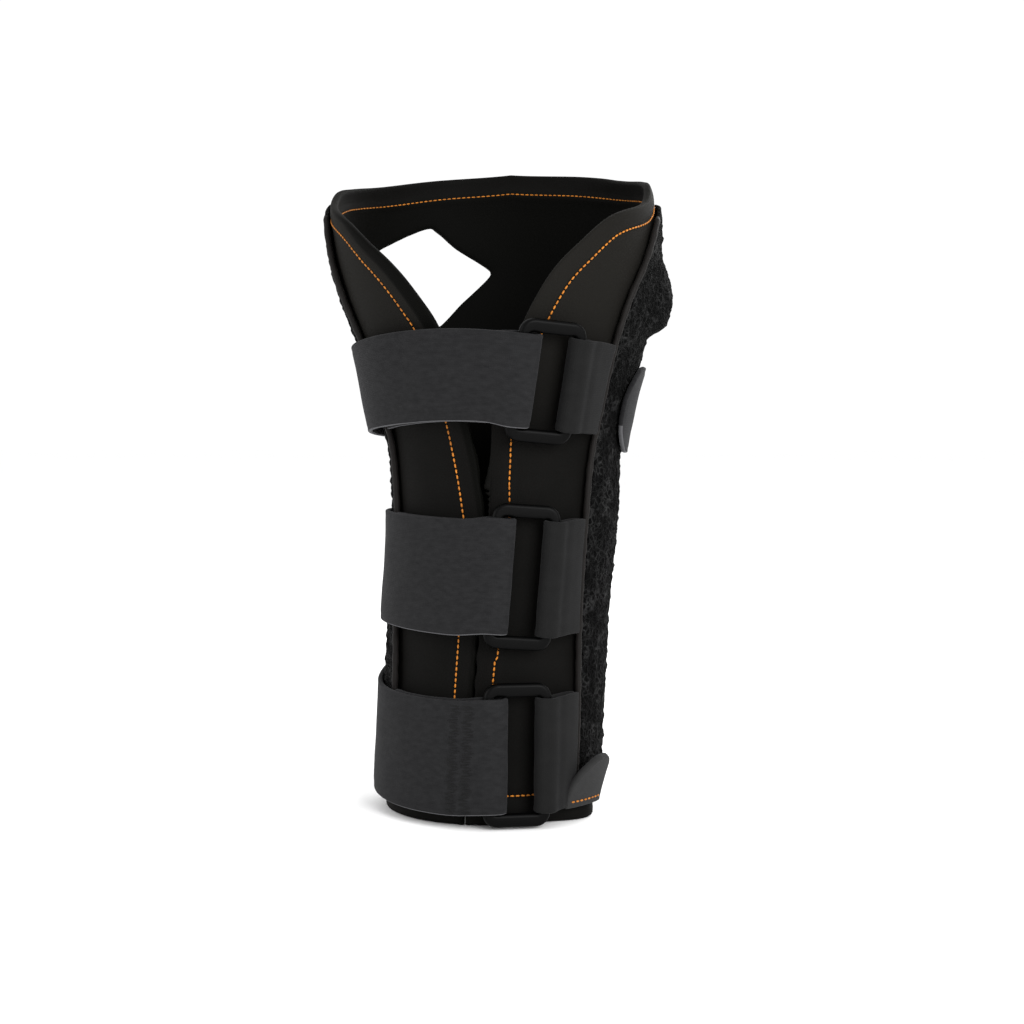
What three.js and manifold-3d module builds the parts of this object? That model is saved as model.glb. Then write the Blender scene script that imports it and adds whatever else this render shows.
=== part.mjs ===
// Wrist support: a soft wrap for the forearm and hand, closed by three elastic straps
// that run through plastic rings. It stands on its forearm end with the hand end up.
// Millimetres. The origin is the middle of the bottom rim, +Z runs up the forearm, and
// -Y is the side with the lengthwise front gap. Angles are degrees round the wrap from
// the front gap, positive towards +X.
import * as THREE from 'three';
import { mergeVertices } from 'three/addons/utils/BufferGeometryUtils.js';
import Module from 'manifold-3d';

const wasm = await Module();
wasm.setup();

// Wrap
const sideHeight = 197; // floor to the corners where the front hems meet the top rim
const rimRise = 16; // how much higher the top rim arches at the back
const wristWidth = 72.4; // across the pile at the wrist
const handWidth = 109.2; // across the pile at the hand end
const wristDepth = 69; // front to back at the wrist
const swayReach = 4.7; // how far the wrist lies to +X of both ends
const leanReach = 4; // how far the hand end lies back
const wallThickness = 2.5;
const frontGap = 1.1; // between the two flaps low down
const hemWidth = 8.5; // rolled hem round every free edge
const hemRoll = 0.5; // how far the rolled hem stands proud
const clearance = 0.3; // between pieces that touch
const layerGap = 0.6; // between layers of cloth that lie on each other
const gapDrift = 3.5; // degrees that the front gap drifts towards -X at the cuff

// Pile panel round the outside, with a piping along each seam
const panelThickness = 1.5;
const panelGap = 0.45; // between the panel or the pipings and the hem under them
const rimBand = 7; // smooth hem left bare above the panel
const cuffBand = 7; // smooth hem left bare below the panel
const pipingWidth = 1.6;
const pocketLift = 5.6; // how far the pocket over the stay's end stands out
const pocketHeight = 30;
const pocketWidth = 34;

// Thumb hole
const thumbHoleWidth = 48;
const thumbHoleHeight = 36;
const thumbHoleAngle = -141.5;

// Straps and their rings
const strapWidth = 35.5; // the two lower straps
const handStrapWidth = 28.5; // the top strap
const strapThickness = 1.5;
const strapSlack = 1.8; // between a strap's fold and the ring's bar
const strapBelly = 3; // how far the hand strap's lower edge stands off at the left
const ringWidth = 21;
const ringBar = 3.2; // width of a ring's long sides
const ringEdge = 1; // softened edge of its plastic
const ringThickness = 3;
const ringEnd = 4.2; // height of a ring's short sides
const ringCorner = 4.5;
const floorClearance = 0.8; // under the lowest ring

// Pull tab sewn into the bottom hem
const tabWidth = 12.5;
const tabHeight = 15;
const tabThickness = 2.6;
const tabLean = 6.5; // how far its top leans out
const tabTwist = 3.6; // how much further the near corner leans than the far one
const tabSeat = 3.5; // its lower end above the floor
const tabAngle = 66.5;

// Sections up the wrap. up: share of the side height. flare: share of the way from the
// wrist's width to the hand's. sway and lean: shares of the named reaches.
const sections = [
  { up: 0.0, flare: -0.03, sway: -0.2, lean: 0.0 },
  { up: 0.12, flare: 0.0, sway: 0.1, lean: 0.0 },
  { up: 0.3, flare: 0.0, sway: 0.45, lean: 0.0 },
  { up: 0.5, flare: 0.04, sway: 1.0, lean: 0.0 },
  { up: 0.6, flare: 0.11, sway: 0.9, lean: 0.1 },
  { up: 0.66, flare: 0.27, sway: 0.8, lean: 0.2 },
  { up: 0.755, flare: 0.56, sway: 0.65, lean: 0.4 },
  { up: 0.84, flare: 0.84, sway: 0.35, lean: 0.65 },
  { up: 0.9, flare: 0.97, sway: 0.15, lean: 0.8 },
  { up: 1.0, flare: 1.0, sway: -0.12, lean: 1.0 },
  { up: 1.05, flare: 0.92, sway: -0.42, lean: 1.1 },
];

// Top edge round the wrap: a wide V from the gap to the two corners, then the arched
// rim. left and right: shares of the side height. rise: share of the rim's rise.
const topEdge = [
  { angle: 0, left: 0.475, right: 0.475, rise: 0 },
  { angle: 3, left: 0.49, right: 0.6, rise: 0 },
  { angle: 6, left: 0.565, right: 0.67, rise: 0 },
  { angle: 10, left: 0.67, right: 0.715, rise: 0 },
  { angle: 15, left: 0.765, right: 0.755, rise: 0 },
  { angle: 22, left: 0.828, right: 0.812, rise: 0 },
  { angle: 30, left: 0.875, right: 0.865, rise: 0 },
  { angle: 40, left: 0.913, right: 0.908, rise: 0 },
  { angle: 52, left: 0.95, right: 0.948, rise: 0 },
  { angle: 78, left: 0.995, right: 0.985, rise: 0.02 },
  { angle: 92, left: 1.0, right: 0.998, rise: 0.3 },
  { angle: 105, left: 1.0, right: 1.0, rise: 0.45 },
  { angle: 120, left: 1.0, right: 1.0, rise: 0.58 },
  { angle: 150, left: 1.0, right: 1.0, rise: 0.86 },
  { angle: 180, left: 1.0, right: 1.0, rise: 1.0 },
];

// Angles of the two seams where the pile panel meets the smooth flaps
const seams = [
  { up: 0.0, left: 54, right: 59 },
  { up: 0.25, left: 55, right: 56 },
  { up: 0.43, left: 61, right: 53 },
  { up: 0.52, left: 64, right: 53.5 },
  { up: 0.62, left: 63, right: 57.5 },
  { up: 0.77, left: 64, right: 60 },
  { up: 0.83, left: 66, right: 64 },
  { up: 0.88, left: 68, right: 70.5 },
  { up: 0.94, left: 72, right: 80 },
  { up: 1.0, left: 79, right: 92 },
];

// Outline of the thumb hole, as shares of half its width and height
const thumbOutline = [
  { side: -1.0, up: 0.05 },
  { side: -0.52, up: 0.6 },
  { side: -0.17, up: 1.0 },
  { side: 0.25, up: 0.84 },
  { side: 0.85, up: 0.44 },
  { side: 1.0, up: 0.0 },
  { side: 0.82, up: -0.55 },
  { side: 0.3, up: -0.9 },
  { side: -0.08, up: -1.0 },
  { side: -0.5, up: -0.55 },
];

// Straps from the hand end down. up: share of the side height at the ring, or seated
// low so that its ring just clears the floor. tail: angle where its free end lies.
// slack: share of the way round to the left seam where its two layers come together.
const ringHeightOf = (width) => width + 2 * clearance + 2 * ringEnd;
const straps = [
  { name: 'hand', width: handStrapWidth, up: 0.693, ringAngle: 26, tail: -288, slack: 1 },
  { name: 'wrist', width: strapWidth, up: 0.394, ringAngle: 18.5, tail: -205, slack: 0.8 },
  { name: 'arm', width: strapWidth, up: null, ringAngle: 21, tail: -180, slack: 0.8 },
];

// Course of each strap's middle, round from its ring. Rises are shares of the room
// between the two lower straps.
const courses = [
  { angle: -300, hand: -0.42, wrist: 0.05, arm: 0.4 },
  { angle: -180, hand: -0.32, wrist: 0.05, arm: 0.4 },
  { angle: -115, hand: -0.16, wrist: 0.08, arm: 0.34 },
  { angle: -85, hand: -0.08, wrist: 0.08, arm: 0.1 },
  { angle: -60, hand: 0.0, wrist: 0.06, arm: 0.0 },
  { angle: -10, hand: 0.11, wrist: 0.0, arm: -0.05 },
  { angle: 26, hand: 0.0, wrist: 0.0, arm: 0.0 },
  { angle: 60, hand: -0.12, wrist: -0.02, arm: 0.02 },
];

const easeIn = (share) => THREE.MathUtils.smoothstep(share, 0, 1);
const coverDepth = hemRoll + panelGap + panelThickness;
const depthShare = wristDepth / wristWidth;

// Reads one column of a table as a smooth curve
function smoothColumn(rows, key, column) {
  const curve = new THREE.CubicInterpolant(
    rows.map((row) => row[key]),
    rows.map((row) => row[column]),
    1,
  );
  return (at) => curve.evaluate(at)[0];
}

const flareAt = smoothColumn(sections, 'up', 'flare');
const swayAt = smoothColumn(sections, 'up', 'sway');
const leanAt = smoothColumn(sections, 'up', 'lean');
const leftEdgeAt = smoothColumn(topEdge, 'angle', 'left');
const rightEdgeAt = smoothColumn(topEdge, 'angle', 'right');
const edgeRise = smoothColumn(topEdge, 'angle', 'rise');
const leftSeamAt = smoothColumn(seams, 'up', 'left');
const rightSeamAt = smoothColumn(seams, 'up', 'right');

// Half width of the wrap's outer face, under the pile panel
function halfWidthAt(height) {
  const flare = flareAt(height / sideHeight);
  return (wristWidth + flare * (handWidth - wristWidth)) / 2 - coverDepth;
}

// A point at an angle and height, so far outside the wrap's outer face
function wallPoint(angle, height, out) {
  const turn = THREE.MathUtils.degToRad(angle);
  const up = height / sideHeight;
  const halfWidth = halfWidthAt(height);
  return new THREE.Vector3(
    swayReach * swayAt(up) + (halfWidth + out) * Math.sin(turn),
    leanReach * leanAt(up) - (halfWidth * depthShare + out) * Math.cos(turn),
    height,
  );
}

// Axes on the wrap's face: x round it, y up it, z straight out
function wallFrame(angle, height, out, tilt = 0) {
  const step = 0.5;
  const origin = wallPoint(angle, height, out);
  const round = wallPoint(angle + step, height, out).sub(wallPoint(angle - step, height, out));
  const rise = wallPoint(angle, height + step, out).sub(wallPoint(angle, height - step, out));
  const outward = round.cross(rise).normalize();
  const up = rise.normalize().applyAxisAngle(outward, tilt);
  const across = up.clone().cross(outward);
  return new THREE.Matrix4().makeBasis(across, up, outward).setPosition(origin);
}

// Degrees that an arc length takes at a height
function degreesOf(arc, height) {
  return THREE.MathUtils.radToDeg(arc / halfWidthAt(height));
}

function topEdgeAt(angle) {
  const turn = ((angle + 540) % 360) - 180;
  const edgeAt = turn < 0 ? leftEdgeAt : rightEdgeAt;
  return sideHeight * edgeAt(Math.abs(turn)) + rimRise * edgeRise(Math.abs(turn));
}

// How far the wrap's front edges turn with the drifting gap
function driftAt(turn, height) {
  const open = easeIn(height / (0.475 * sideHeight));
  return -gapDrift * (1 - open) * Math.max(0, 1 - turn / 50);
}

// Closed body between two skins. pointAt(u, v, side) gives side 1, outside, and side 0
function closedSheet(across, along, pointAt) {
  const positions = [];
  const index = [];
  const at = (side, i, j) => (side * (across + 1) + i) * (along + 1) + j;
  const point = (number) => new THREE.Vector3().fromArray(positions, 3 * number);
  // Each quad is split along its shorter diagonal
  const quad = (a, b, c, d) => {
    const short = point(a).distanceTo(point(c)) <= point(b).distanceTo(point(d));
    index.push(...(short ? [a, b, c, a, c, d] : [b, c, d, b, d, a]));
  };
  for (const side of [0, 1]) {
    for (let i = 0; i <= across; i += 1) {
      for (let j = 0; j <= along; j += 1) {
        positions.push(...pointAt(i / across, j / along, side).toArray());
      }
    }
  }
  for (let i = 0; i < across; i += 1) {
    for (let j = 0; j < along; j += 1) {
      quad(at(1, i, j), at(1, i + 1, j), at(1, i + 1, j + 1), at(1, i, j + 1));
      quad(at(0, i, j + 1), at(0, i + 1, j + 1), at(0, i + 1, j), at(0, i, j));
    }
    quad(at(0, i, 0), at(0, i + 1, 0), at(1, i + 1, 0), at(1, i, 0));
    quad(at(1, i, along), at(1, i + 1, along), at(0, i + 1, along), at(0, i, along));
  }
  for (let j = 0; j < along; j += 1) {
    quad(at(1, 0, j), at(1, 0, j + 1), at(0, 0, j + 1), at(0, 0, j));
    quad(at(0, across, j), at(0, across, j + 1), at(1, across, j + 1), at(1, across, j));
  }
  const geometry = new THREE.BufferGeometry();
  geometry.setAttribute('position', new THREE.Float32BufferAttribute(positions, 3));
  geometry.setIndex(index);
  return geometry;
}

// Closed body of even thickness about a middle surface
function thickSheet(across, along, thickness, middleAt) {
  const step = 1e-3;
  return closedSheet(across, along, (u, v, side) => {
    const before = middleAt(Math.max(u - step, 0), v);
    const after = middleAt(Math.min(u + step, 1), v);
    const below = middleAt(u, Math.max(v - step, 0));
    const above = middleAt(u, Math.min(v + step, 1));
    const normal = after.sub(before).cross(above.sub(below)).normalize();
    return middleAt(u, v).addScaledVector(normal, (side - 0.5) * thickness);
  });
}

function toSolid(geometry) {
  const bare = geometry.clone();
  bare.deleteAttribute('normal');
  bare.deleteAttribute('uv');
  const merged = mergeVertices(bare, 1e-4);
  return new wasm.Manifold(
    new wasm.Mesh({
      numProp: 3,
      vertProperties: new Float32Array(merged.attributes.position.array),
      triVerts: new Uint32Array(merged.index.array),
    }),
  );
}

function toGeometry(solid) {
  const mesh = solid.getMesh();
  const geometry = new THREE.BufferGeometry();
  geometry.setAttribute('position', new THREE.BufferAttribute(mesh.vertProperties, 3));
  geometry.setIndex(new THREE.BufferAttribute(mesh.triVerts, 1));
  return geometry;
}

// Extra height of the rolled hem near the top edge, the front edges and the bottom
function hemAt(angle, height) {
  const turn = Math.min(angle, 360 - angle);
  const radius = halfWidthAt(height);
  const slope = (topEdgeAt(angle + 0.5) - topEdgeAt(angle - 0.5)) / THREE.MathUtils.degToRad(radius);
  const fromTop = (topEdgeAt(angle) - height) / Math.hypot(1, slope);
  const fromFront = THREE.MathUtils.degToRad(turn) * radius;
  const nearest = Math.min(fromTop, fromFront, height);
  return hemRoll * (1 - easeIn((nearest - hemWidth) / hemWidth));
}

// Soft wrap: one wall from flap to flap round the back, with its thumb hole cut through
function wrapGeometry() {
  const startAngle = degreesOf(frontGap / 2, 0);
  const rows = [0, 0.045, 0.1, 0.22, 0.36, 0.47, 0.53, 0.58, 0.63, 0.69, 0.76, 0.83, 0.89, 0.95, 1];
  const sheet = closedSheet(50, rows.length - 1, (u, v, side) => {
    const half = Math.abs(2 * u - 1);
    const turn = startAngle + (180 - startAngle) * (1 - half) ** 1.45;
    const angle = u < 0.5 ? turn : 360 - turn;
    const height = rows[Math.round(v * (rows.length - 1))] * topEdgeAt(angle);
    const out = side ? hemAt(angle, height) : -wallThickness;
    return wallPoint(angle + driftAt(turn, height), height, out);
  });
  return toGeometry(toSolid(sheet).subtract(thumbCutter(0)));
}

// Prism through the wall at the thumb hole, wider by a margin all round
function thumbCutter(margin) {
  const height = 0.89 * sideHeight;
  const points = thumbOutline.map(
    ({ side, up }) =>
      new THREE.Vector2(
        side * (thumbHoleWidth / 2 + margin),
        up * (thumbHoleHeight / 2 + margin),
      ),
  );
  const shape = new THREE.Shape();
  shape.setFromPoints(
    new THREE.CatmullRomCurve3(
      points.map(({ x, y }) => new THREE.Vector3(x, y, 0)),
      true,
      'centripetal',
    )
      .getPoints(30)
      .slice(0, -1)
      .map(({ x, y }) => new THREE.Vector2(x, y)),
  );
  const reach = handWidth / 4;
  const prism = new THREE.ExtrudeGeometry(shape, { depth: 2 * reach, bevelEnabled: false });
  prism.translate(0, 0, -reach);
  prism.applyMatrix4(wallFrame(thumbHoleAngle, height, 0));
  return toSolid(prism);
}

// Swelling of the pile panel over the end of the stay's pocket, square at its lower end
function pocketAt(angle, height) {
  const pocketAngle = 98;
  const foot = 0.768 * sideHeight;
  const side = degreesOf(pocketWidth / 2, height);
  const across = Math.max(0, 1 - Math.abs(angle - pocketAngle) / side);
  const up = (height - foot) / pocketHeight;
  if (up <= 0 || up >= 1) {
    return 0;
  }
  return pocketLift * easeIn(across) * easeIn(up / 0.18) * easeIn((1 - up) / 0.6);
}

// Pile panel round the back, from the right seam to the left one
function panelGeometry() {
  const rows = [
    0, 0.2, 0.42, 0.52, 0.575, 0.625, 0.68, 0.735, 0.765, 0.79, 0.83, 0.87, 0.905, 0.935, 0.965, 1,
  ];
  const sheet = closedSheet(34, rows.length - 1, (u, v, side) => {
    const share = rows[Math.round(v * (rows.length - 1))];
    let height = THREE.MathUtils.lerp(cuffBand, sideHeight - rimBand, share);
    let angle = 180;
    for (let pass = 0; pass < 4; pass += 1) {
      const room = degreesOf(pipingWidth / 2 + layerGap, height);
      const right = rightSeamAt(height / sideHeight) + room;
      const left = 360 - leftSeamAt(height / sideHeight) - room;
      angle = THREE.MathUtils.lerp(right, left, u);
      height = THREE.MathUtils.lerp(cuffBand, topEdgeAt(angle) - rimBand, share);
    }
    const out = side ? coverDepth + pocketAt(angle, height) : hemRoll + panelGap;
    return wallPoint(angle, height, out);
  });
  return toGeometry(toSolid(sheet).subtract(thumbCutter(1.5)));
}

// Piping along a seam, a thin round cord lying on the wrap
function pipingGeometry(angleAt) {
  const section = new THREE.Shape();
  section.absarc(0, 0, pipingWidth / 2, 0, 2 * Math.PI);
  const points = [];
  for (let step = 0; step <= 12; step += 1) {
    const height = THREE.MathUtils.lerp(1, topEdgeAt(80) - rimBand, step / 12);
    const out = hemRoll + panelGap + pipingWidth / 2;
    points.push(wallPoint(angleAt(height / sideHeight), height, out));
  }
  return new THREE.ExtrudeGeometry(section, {
    extrudePath: new THREE.CatmullRomCurve3(points),
    steps: 26,
    curveSegments: 3,
  });
}

// Where each strap's ring sits
const ringLift = strapThickness + hemRoll + layerGap;
const bend = ringThickness / 2 + clearance + strapThickness / 2;
const openingHalf = ringWidth / 2 - ringBar;
const armHeight = floorClearance + ringHeightOf(strapWidth) / 2;
const heightOf = (strap) => (strap.up === null ? armHeight : strap.up * sideHeight);
const strapRoom = heightOf(straps[1]) - heightOf(straps[2]) - strapWidth;

function courseOf(strap) {
  const riseAt = smoothColumn(courses, 'angle', strap.name);
  const start = riseAt(strap.ringAngle);
  return (angle) => heightOf(strap) + strapRoom * (riseAt(angle) - start);
}

// A point on a strap: at an angle, so far up its width, so far out from the wrap
function strapPoint(course, angle, offset, out) {
  const middle = course(angle);
  const lean = (halfWidthAt(middle + 1) - halfWidthAt(middle - 1)) / 2;
  return wallPoint(angle, middle + offset / Math.hypot(1, lean), out);
}

function ringFrame(strap) {
  const course = courseOf(strap);
  const rise = course(strap.ringAngle + 4) - course(strap.ringAngle - 4);
  const run = (halfWidthAt(heightOf(strap)) * Math.PI * 8) / 180;
  const out = ringLift + ringThickness / 2;
  return wallFrame(strap.ringAngle, heightOf(strap), out, Math.atan(rise / run));
}

// Turn of a band round a ring's bar. side -1 is the strap's bar, 1 the short loop's.
// slack is how far the turn's centre lies off the bar's inner edge
function turnPoints(frame, side, slack, offset) {
  const points = [];
  const place = (across, out) => points.push(new THREE.Vector3(across, offset, out).applyMatrix4(frame));
  place(side * (openingHalf + ringBar), -bend);
  for (const degrees of [-90, -60, -30, 0, 30, 60, 90]) {
    const turn = THREE.MathUtils.degToRad(degrees);
    place(side * (openingHalf - slack - bend * Math.cos(turn)), bend * Math.sin(turn));
  }
  place(side * (openingHalf + ringBar), bend);
  return points;
}

// How far the hand strap's lower edge stands off the flare at the left
function bellyAt(strap, angle, offset) {
  const side = Math.max(0, 1 - Math.abs(angle + 75) / 70);
  return strap.name === 'hand' ? strapBelly * easeIn(side) * (0.5 - offset / strap.width) : 0;
}

// Strap: sewn in the left seam, round the ring's bar, back over itself and round the wrap
function strapGeometry(strap) {
  const course = courseOf(strap);
  const frame = ringFrame(strap);
  const under = hemRoll + layerGap + strapThickness / 2;
  const over = coverDepth + layerGap + strapThickness / 2;
  const ringLeft = strap.ringAngle - degreesOf(ringWidth / 2 + 6, heightOf(strap));
  const seamAt = (offset) => -leftSeamAt((heightOf(strap) + offset) / sideHeight);
  const room = degreesOf(pipingWidth / 2 + layerGap, heightOf(strap)) + 1;
  const overRing = ringLift + ringThickness / 2 + bend + 0.6;
  const meet = THREE.MathUtils.lerp(ringLeft, seamAt(0) - 12, strap.slack);
  const middleCurve = (offset) => {
    const points = [];
    for (let step = 0; step <= 4; step += 1) {
      const angle = THREE.MathUtils.lerp(seamAt(offset) + room, ringLeft, step / 4);
      points.push(strapPoint(course, angle, offset, under));
    }
    points.push(...turnPoints(frame, -1, strapSlack - ringThickness / 4, offset));
    for (let angle = ringLeft; angle > strap.tail; angle -= 13) {
      const share = THREE.MathUtils.clamp((angle - meet) / (ringLeft - meet), 0, 1);
      const out = THREE.MathUtils.lerp(over, overRing, 0.75 * share ** 1.6);
      points.push(strapPoint(course, angle, offset, out + bellyAt(strap, angle, offset)));
    }
    points.push(strapPoint(course, strap.tail, offset, over));
    return new THREE.CatmullRomCurve3(points, false, 'centripetal');
  };
  return bandGeometry(strap.width, middleCurve, true, strap.name === 'hand' ? 4 : 2);
}

// Band of strap elastic along curves worked out for each row up its width
function bandGeometry(width, middleCurve, roundEnd, rise) {
  const length = middleCurve(0).getLength();
  const endStart = 1 - (0.45 * width) / length;
  const rows = [-0.5, -0.25, 0, 0.25, 0.5].map((share) => middleCurve(share * width));
  const steps = 2 * (rows[0].points.length - 1);
  const middleAt = (u, v) => {
    const near = roundEnd && u > endStart ? Math.sqrt(1 - ((u - endStart) / (1 - endStart)) ** 2) : 1;
    const share = 0.5 + (v - 0.5) * Math.max(near, 0.3);
    const low = Math.min(Math.floor(share * 4), 3);
    return rows[low].getPoint(u).lerp(rows[low + 1].getPoint(u), share * 4 - low);
  };
  return thickSheet(steps, rise, strapThickness, middleAt);
}

// Short doubled loop from the right seam round the ring's other bar
function ringLoopGeometry(strap) {
  const course = courseOf(strap);
  const frame = ringFrame(strap);
  const height = heightOf(strap);
  const under = hemRoll + layerGap + strapThickness / 2;
  const over = under + strapThickness + clearance;
  const room = degreesOf(pipingWidth / 2 + layerGap, height) + 2;
  const seamAt = (offset) => rightSeamAt((height + offset) / sideHeight) - room;
  const ringRight = strap.ringAngle + degreesOf(ringWidth / 2 + 1.5, height);
  const middleCurve = (offset) => {
    const points = turnPoints(frame, 1, -ringThickness / 2, offset);
    const seam = seamAt(offset);
    const middle = (ringRight + seam) / 2;
    points.unshift(
      strapPoint(course, seam, offset, under),
      strapPoint(course, middle, offset, under),
    );
    points.push(
      strapPoint(course, middle, offset, over + 1.2),
      strapPoint(course, seam, offset, over),
    );
    return new THREE.CatmullRomCurve3(points, false, 'centripetal');
  };
  return bandGeometry(strap.width, middleCurve, false, 2);
}

function roundedRectangle(path, width, height, corner) {
  const x = width / 2;
  const y = height / 2;
  path.moveTo(x, corner - y);
  path.absarc(x - corner, y - corner, corner, 0, Math.PI / 2);
  path.absarc(corner - x, y - corner, corner, Math.PI / 2, Math.PI);
  path.absarc(corner - x, corner - y, corner, Math.PI, 1.5 * Math.PI);
  path.absarc(x - corner, corner - y, corner, 1.5 * Math.PI, 2 * Math.PI);
  return path;
}

// Slotted plastic ring, flat, with softened edges
function ringGeometry(strap) {
  const edge = ringEdge;
  const height = ringHeightOf(strap.width);
  const shape = roundedRectangle(
    new THREE.Shape(), ringWidth - 2 * edge, height - 2 * edge, ringCorner - edge,
  );
  shape.holes.push(
    roundedRectangle(
      new THREE.Path(), 2 * openingHalf + 2 * edge, strap.width + 2 * clearance + 2 * edge, 1.2,
    ),
  );
  const geometry = new THREE.ExtrudeGeometry(shape, {
    depth: ringThickness - 2 * edge,
    curveSegments: 3,
    bevelEnabled: true,
    bevelThickness: edge,
    bevelSize: edge,
    bevelSegments: 1,
  });
  return geometry.translate(0, 0, edge - ringThickness / 2);
}

// Pull tab standing out of the bottom hem
function tabGeometry() {
  const half = degreesOf(tabWidth / 2, tabSeat);
  const middleAt = (u, v) => {
    const corner = Math.sqrt(1 - Math.max(0, (v - 0.7) / 0.3) ** 2 * 0.6);
    const side = (2 * u - 1) * corner;
    const lean = (tabLean - tabTwist * side) * v ** 1.3;
    const seat = coverDepth + clearance + tabThickness / 2 + 0.4;
    return wallPoint(tabAngle + side * half, tabSeat + v * tabHeight, seat + lean);
  };
  return thickSheet(6, 6, tabThickness, middleAt);
}

const fabric = (color, roughness) => new THREE.MeshStandardMaterial({ color, roughness, metalness: 0 });
const smoothCloth = fabric(0x1d1c1b, 0.85);
const pileCloth = fabric(0x1b1b1b, 0.95);
const elastic = fabric(0x303032, 0.85);
const plastic = new THREE.MeshStandardMaterial({ color: 0x0c0c0c, roughness: 0.4, metalness: 0 });

const wristSupport = new THREE.Group();

function addPiece(name, geometry, material, matrix = new THREE.Matrix4()) {
  const mesh = new THREE.Mesh(geometry, material.clone());
  mesh.name = name;
  matrix.decompose(mesh.position, mesh.quaternion, mesh.scale);
  wristSupport.add(mesh);
}

addPiece('wrap', wrapGeometry(), smoothCloth);
addPiece('pile_panel', panelGeometry(), pileCloth);
addPiece('left_piping', pipingGeometry((up) => -leftSeamAt(up)), smoothCloth);
addPiece('right_piping', pipingGeometry((up) => rightSeamAt(up)), smoothCloth);
for (const strap of straps) {
  addPiece(`${strap.name}_strap`, strapGeometry(strap), elastic);
  addPiece(`${strap.name}_ring_loop`, ringLoopGeometry(strap), elastic);
  addPiece(`${strap.name}_ring`, ringGeometry(strap), plastic, ringFrame(strap));
}
addPiece('pull_tab', tabGeometry(), elastic);

// The origin goes to the middle of the footprint
wristSupport.updateMatrixWorld(true);
const bounds = new THREE.Box3().setFromObject(wristSupport, true);
const middle = bounds.getCenter(new THREE.Vector3());
wristSupport.position.set(-middle.x, -middle.y, -bounds.min.z);

export default wristSupport;
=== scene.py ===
import bisect
import math

import bmesh
import bpy
from mathutils import Matrix, Vector, noise
from mathutils.bvhtree import BVHTree
from mathutils.kdtree import KDTree


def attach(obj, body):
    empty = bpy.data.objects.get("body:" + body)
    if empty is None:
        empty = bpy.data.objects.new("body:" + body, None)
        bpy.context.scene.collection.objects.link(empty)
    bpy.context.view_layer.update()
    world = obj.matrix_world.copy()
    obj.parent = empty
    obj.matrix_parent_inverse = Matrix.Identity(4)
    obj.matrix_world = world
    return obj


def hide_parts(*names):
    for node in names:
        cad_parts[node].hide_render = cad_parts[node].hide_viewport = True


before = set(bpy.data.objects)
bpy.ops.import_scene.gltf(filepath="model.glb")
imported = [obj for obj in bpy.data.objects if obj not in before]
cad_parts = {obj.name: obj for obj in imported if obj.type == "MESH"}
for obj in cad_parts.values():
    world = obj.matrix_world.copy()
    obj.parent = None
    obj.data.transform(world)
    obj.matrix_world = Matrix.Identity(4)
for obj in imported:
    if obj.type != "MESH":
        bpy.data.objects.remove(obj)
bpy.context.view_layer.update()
mm = 0.001

# Form of the wrap, with the numbers and curves of the model's source
print("form of the wrap")
form = {
    "shift": (-1.3936, -3.9787),  # from the wrist's axis to the middle of the footprint
    "sideHeight": 197,
    "rimRise": 16,
    "wristWidth": 72.4,
    "handWidth": 109.2,
    "wristDepth": 69,
    "swayReach": 4.7,  # how far the middle wanders sideways
    "leanReach": 4,  # and back
    "wall": 2.5,
    "gapDrift": 3.5,  # degrees the front gap runs to the left at the cuff
    "hemRoll": 0.5,
    "panelGap": 0.45,
    "panel": 1.5,
    "layerGap": 0.6,
    "piping": 1.6,
}
coverDepth = form["hemRoll"] + form["panelGap"] + form["panel"]


# A smooth curve through the rows of a short table
def smoothTable(rows):
    keys = [row[0] for row in rows]
    values = [row[1] for row in rows]

    def evaluate(at):
        if at <= keys[0]:
            return values[0]
        if at >= keys[-1]:
            return values[-1]
        low = bisect.bisect_right(keys, at) - 1
        start, end = keys[low], keys[low + 1]
        before = low - 1 if low > 0 else low + 1
        after = low + 2 if low + 2 < len(keys) else low
        half = (end - start) / 2
        weightBefore = half / (start - (keys[before] if low > 0 else end))
        weightAfter = half / ((keys[after] if low + 2 < len(keys) else start) - end)
        p = (at - start) / (end - start)
        return (
            (-weightBefore * p**3 + 2 * weightBefore * p**2 - weightBefore * p) * values[before]
            + ((1 + weightBefore) * p**3 - (1.5 + 2 * weightBefore) * p**2
               + (weightBefore - 0.5) * p + 1) * values[low]
            + ((-1 - weightAfter) * p**3 + (1.5 + weightAfter) * p**2 + 0.5 * p) * values[low + 1]
            + (weightAfter * p**3 - weightAfter * p**2) * values[after]
        )

    return evaluate


flareAt = smoothTable([
    (0, -0.03), (0.12, 0), (0.3, 0), (0.5, 0.04), (0.6, 0.11), (0.66, 0.27),
    (0.755, 0.56), (0.84, 0.84), (0.9, 0.97), (1, 1), (1.05, 0.92),
])
swayAt = smoothTable([
    (0, -0.2), (0.12, 0.1), (0.3, 0.45), (0.5, 1), (0.6, 0.9), (0.66, 0.8),
    (0.755, 0.65), (0.84, 0.35), (0.9, 0.15), (1, -0.12), (1.05, -0.42),
])
leanAt = smoothTable([
    (0, 0), (0.12, 0), (0.3, 0), (0.5, 0), (0.6, 0.1), (0.66, 0.2),
    (0.755, 0.4), (0.84, 0.65), (0.9, 0.8), (1, 1), (1.05, 1.1),
])
leftEdgeAt = smoothTable([
    (0, 0.475), (3, 0.49), (6, 0.565), (10, 0.67), (15, 0.765), (22, 0.828), (30, 0.875),
    (40, 0.913), (52, 0.95), (78, 0.995), (92, 1), (105, 1), (120, 1), (150, 1), (180, 1),
])
rightEdgeAt = smoothTable([
    (0, 0.475), (3, 0.6), (6, 0.67), (10, 0.715), (15, 0.755), (22, 0.812), (30, 0.865),
    (40, 0.908), (52, 0.948), (78, 0.985), (92, 0.998), (105, 1), (120, 1), (150, 1), (180, 1),
])
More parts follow.
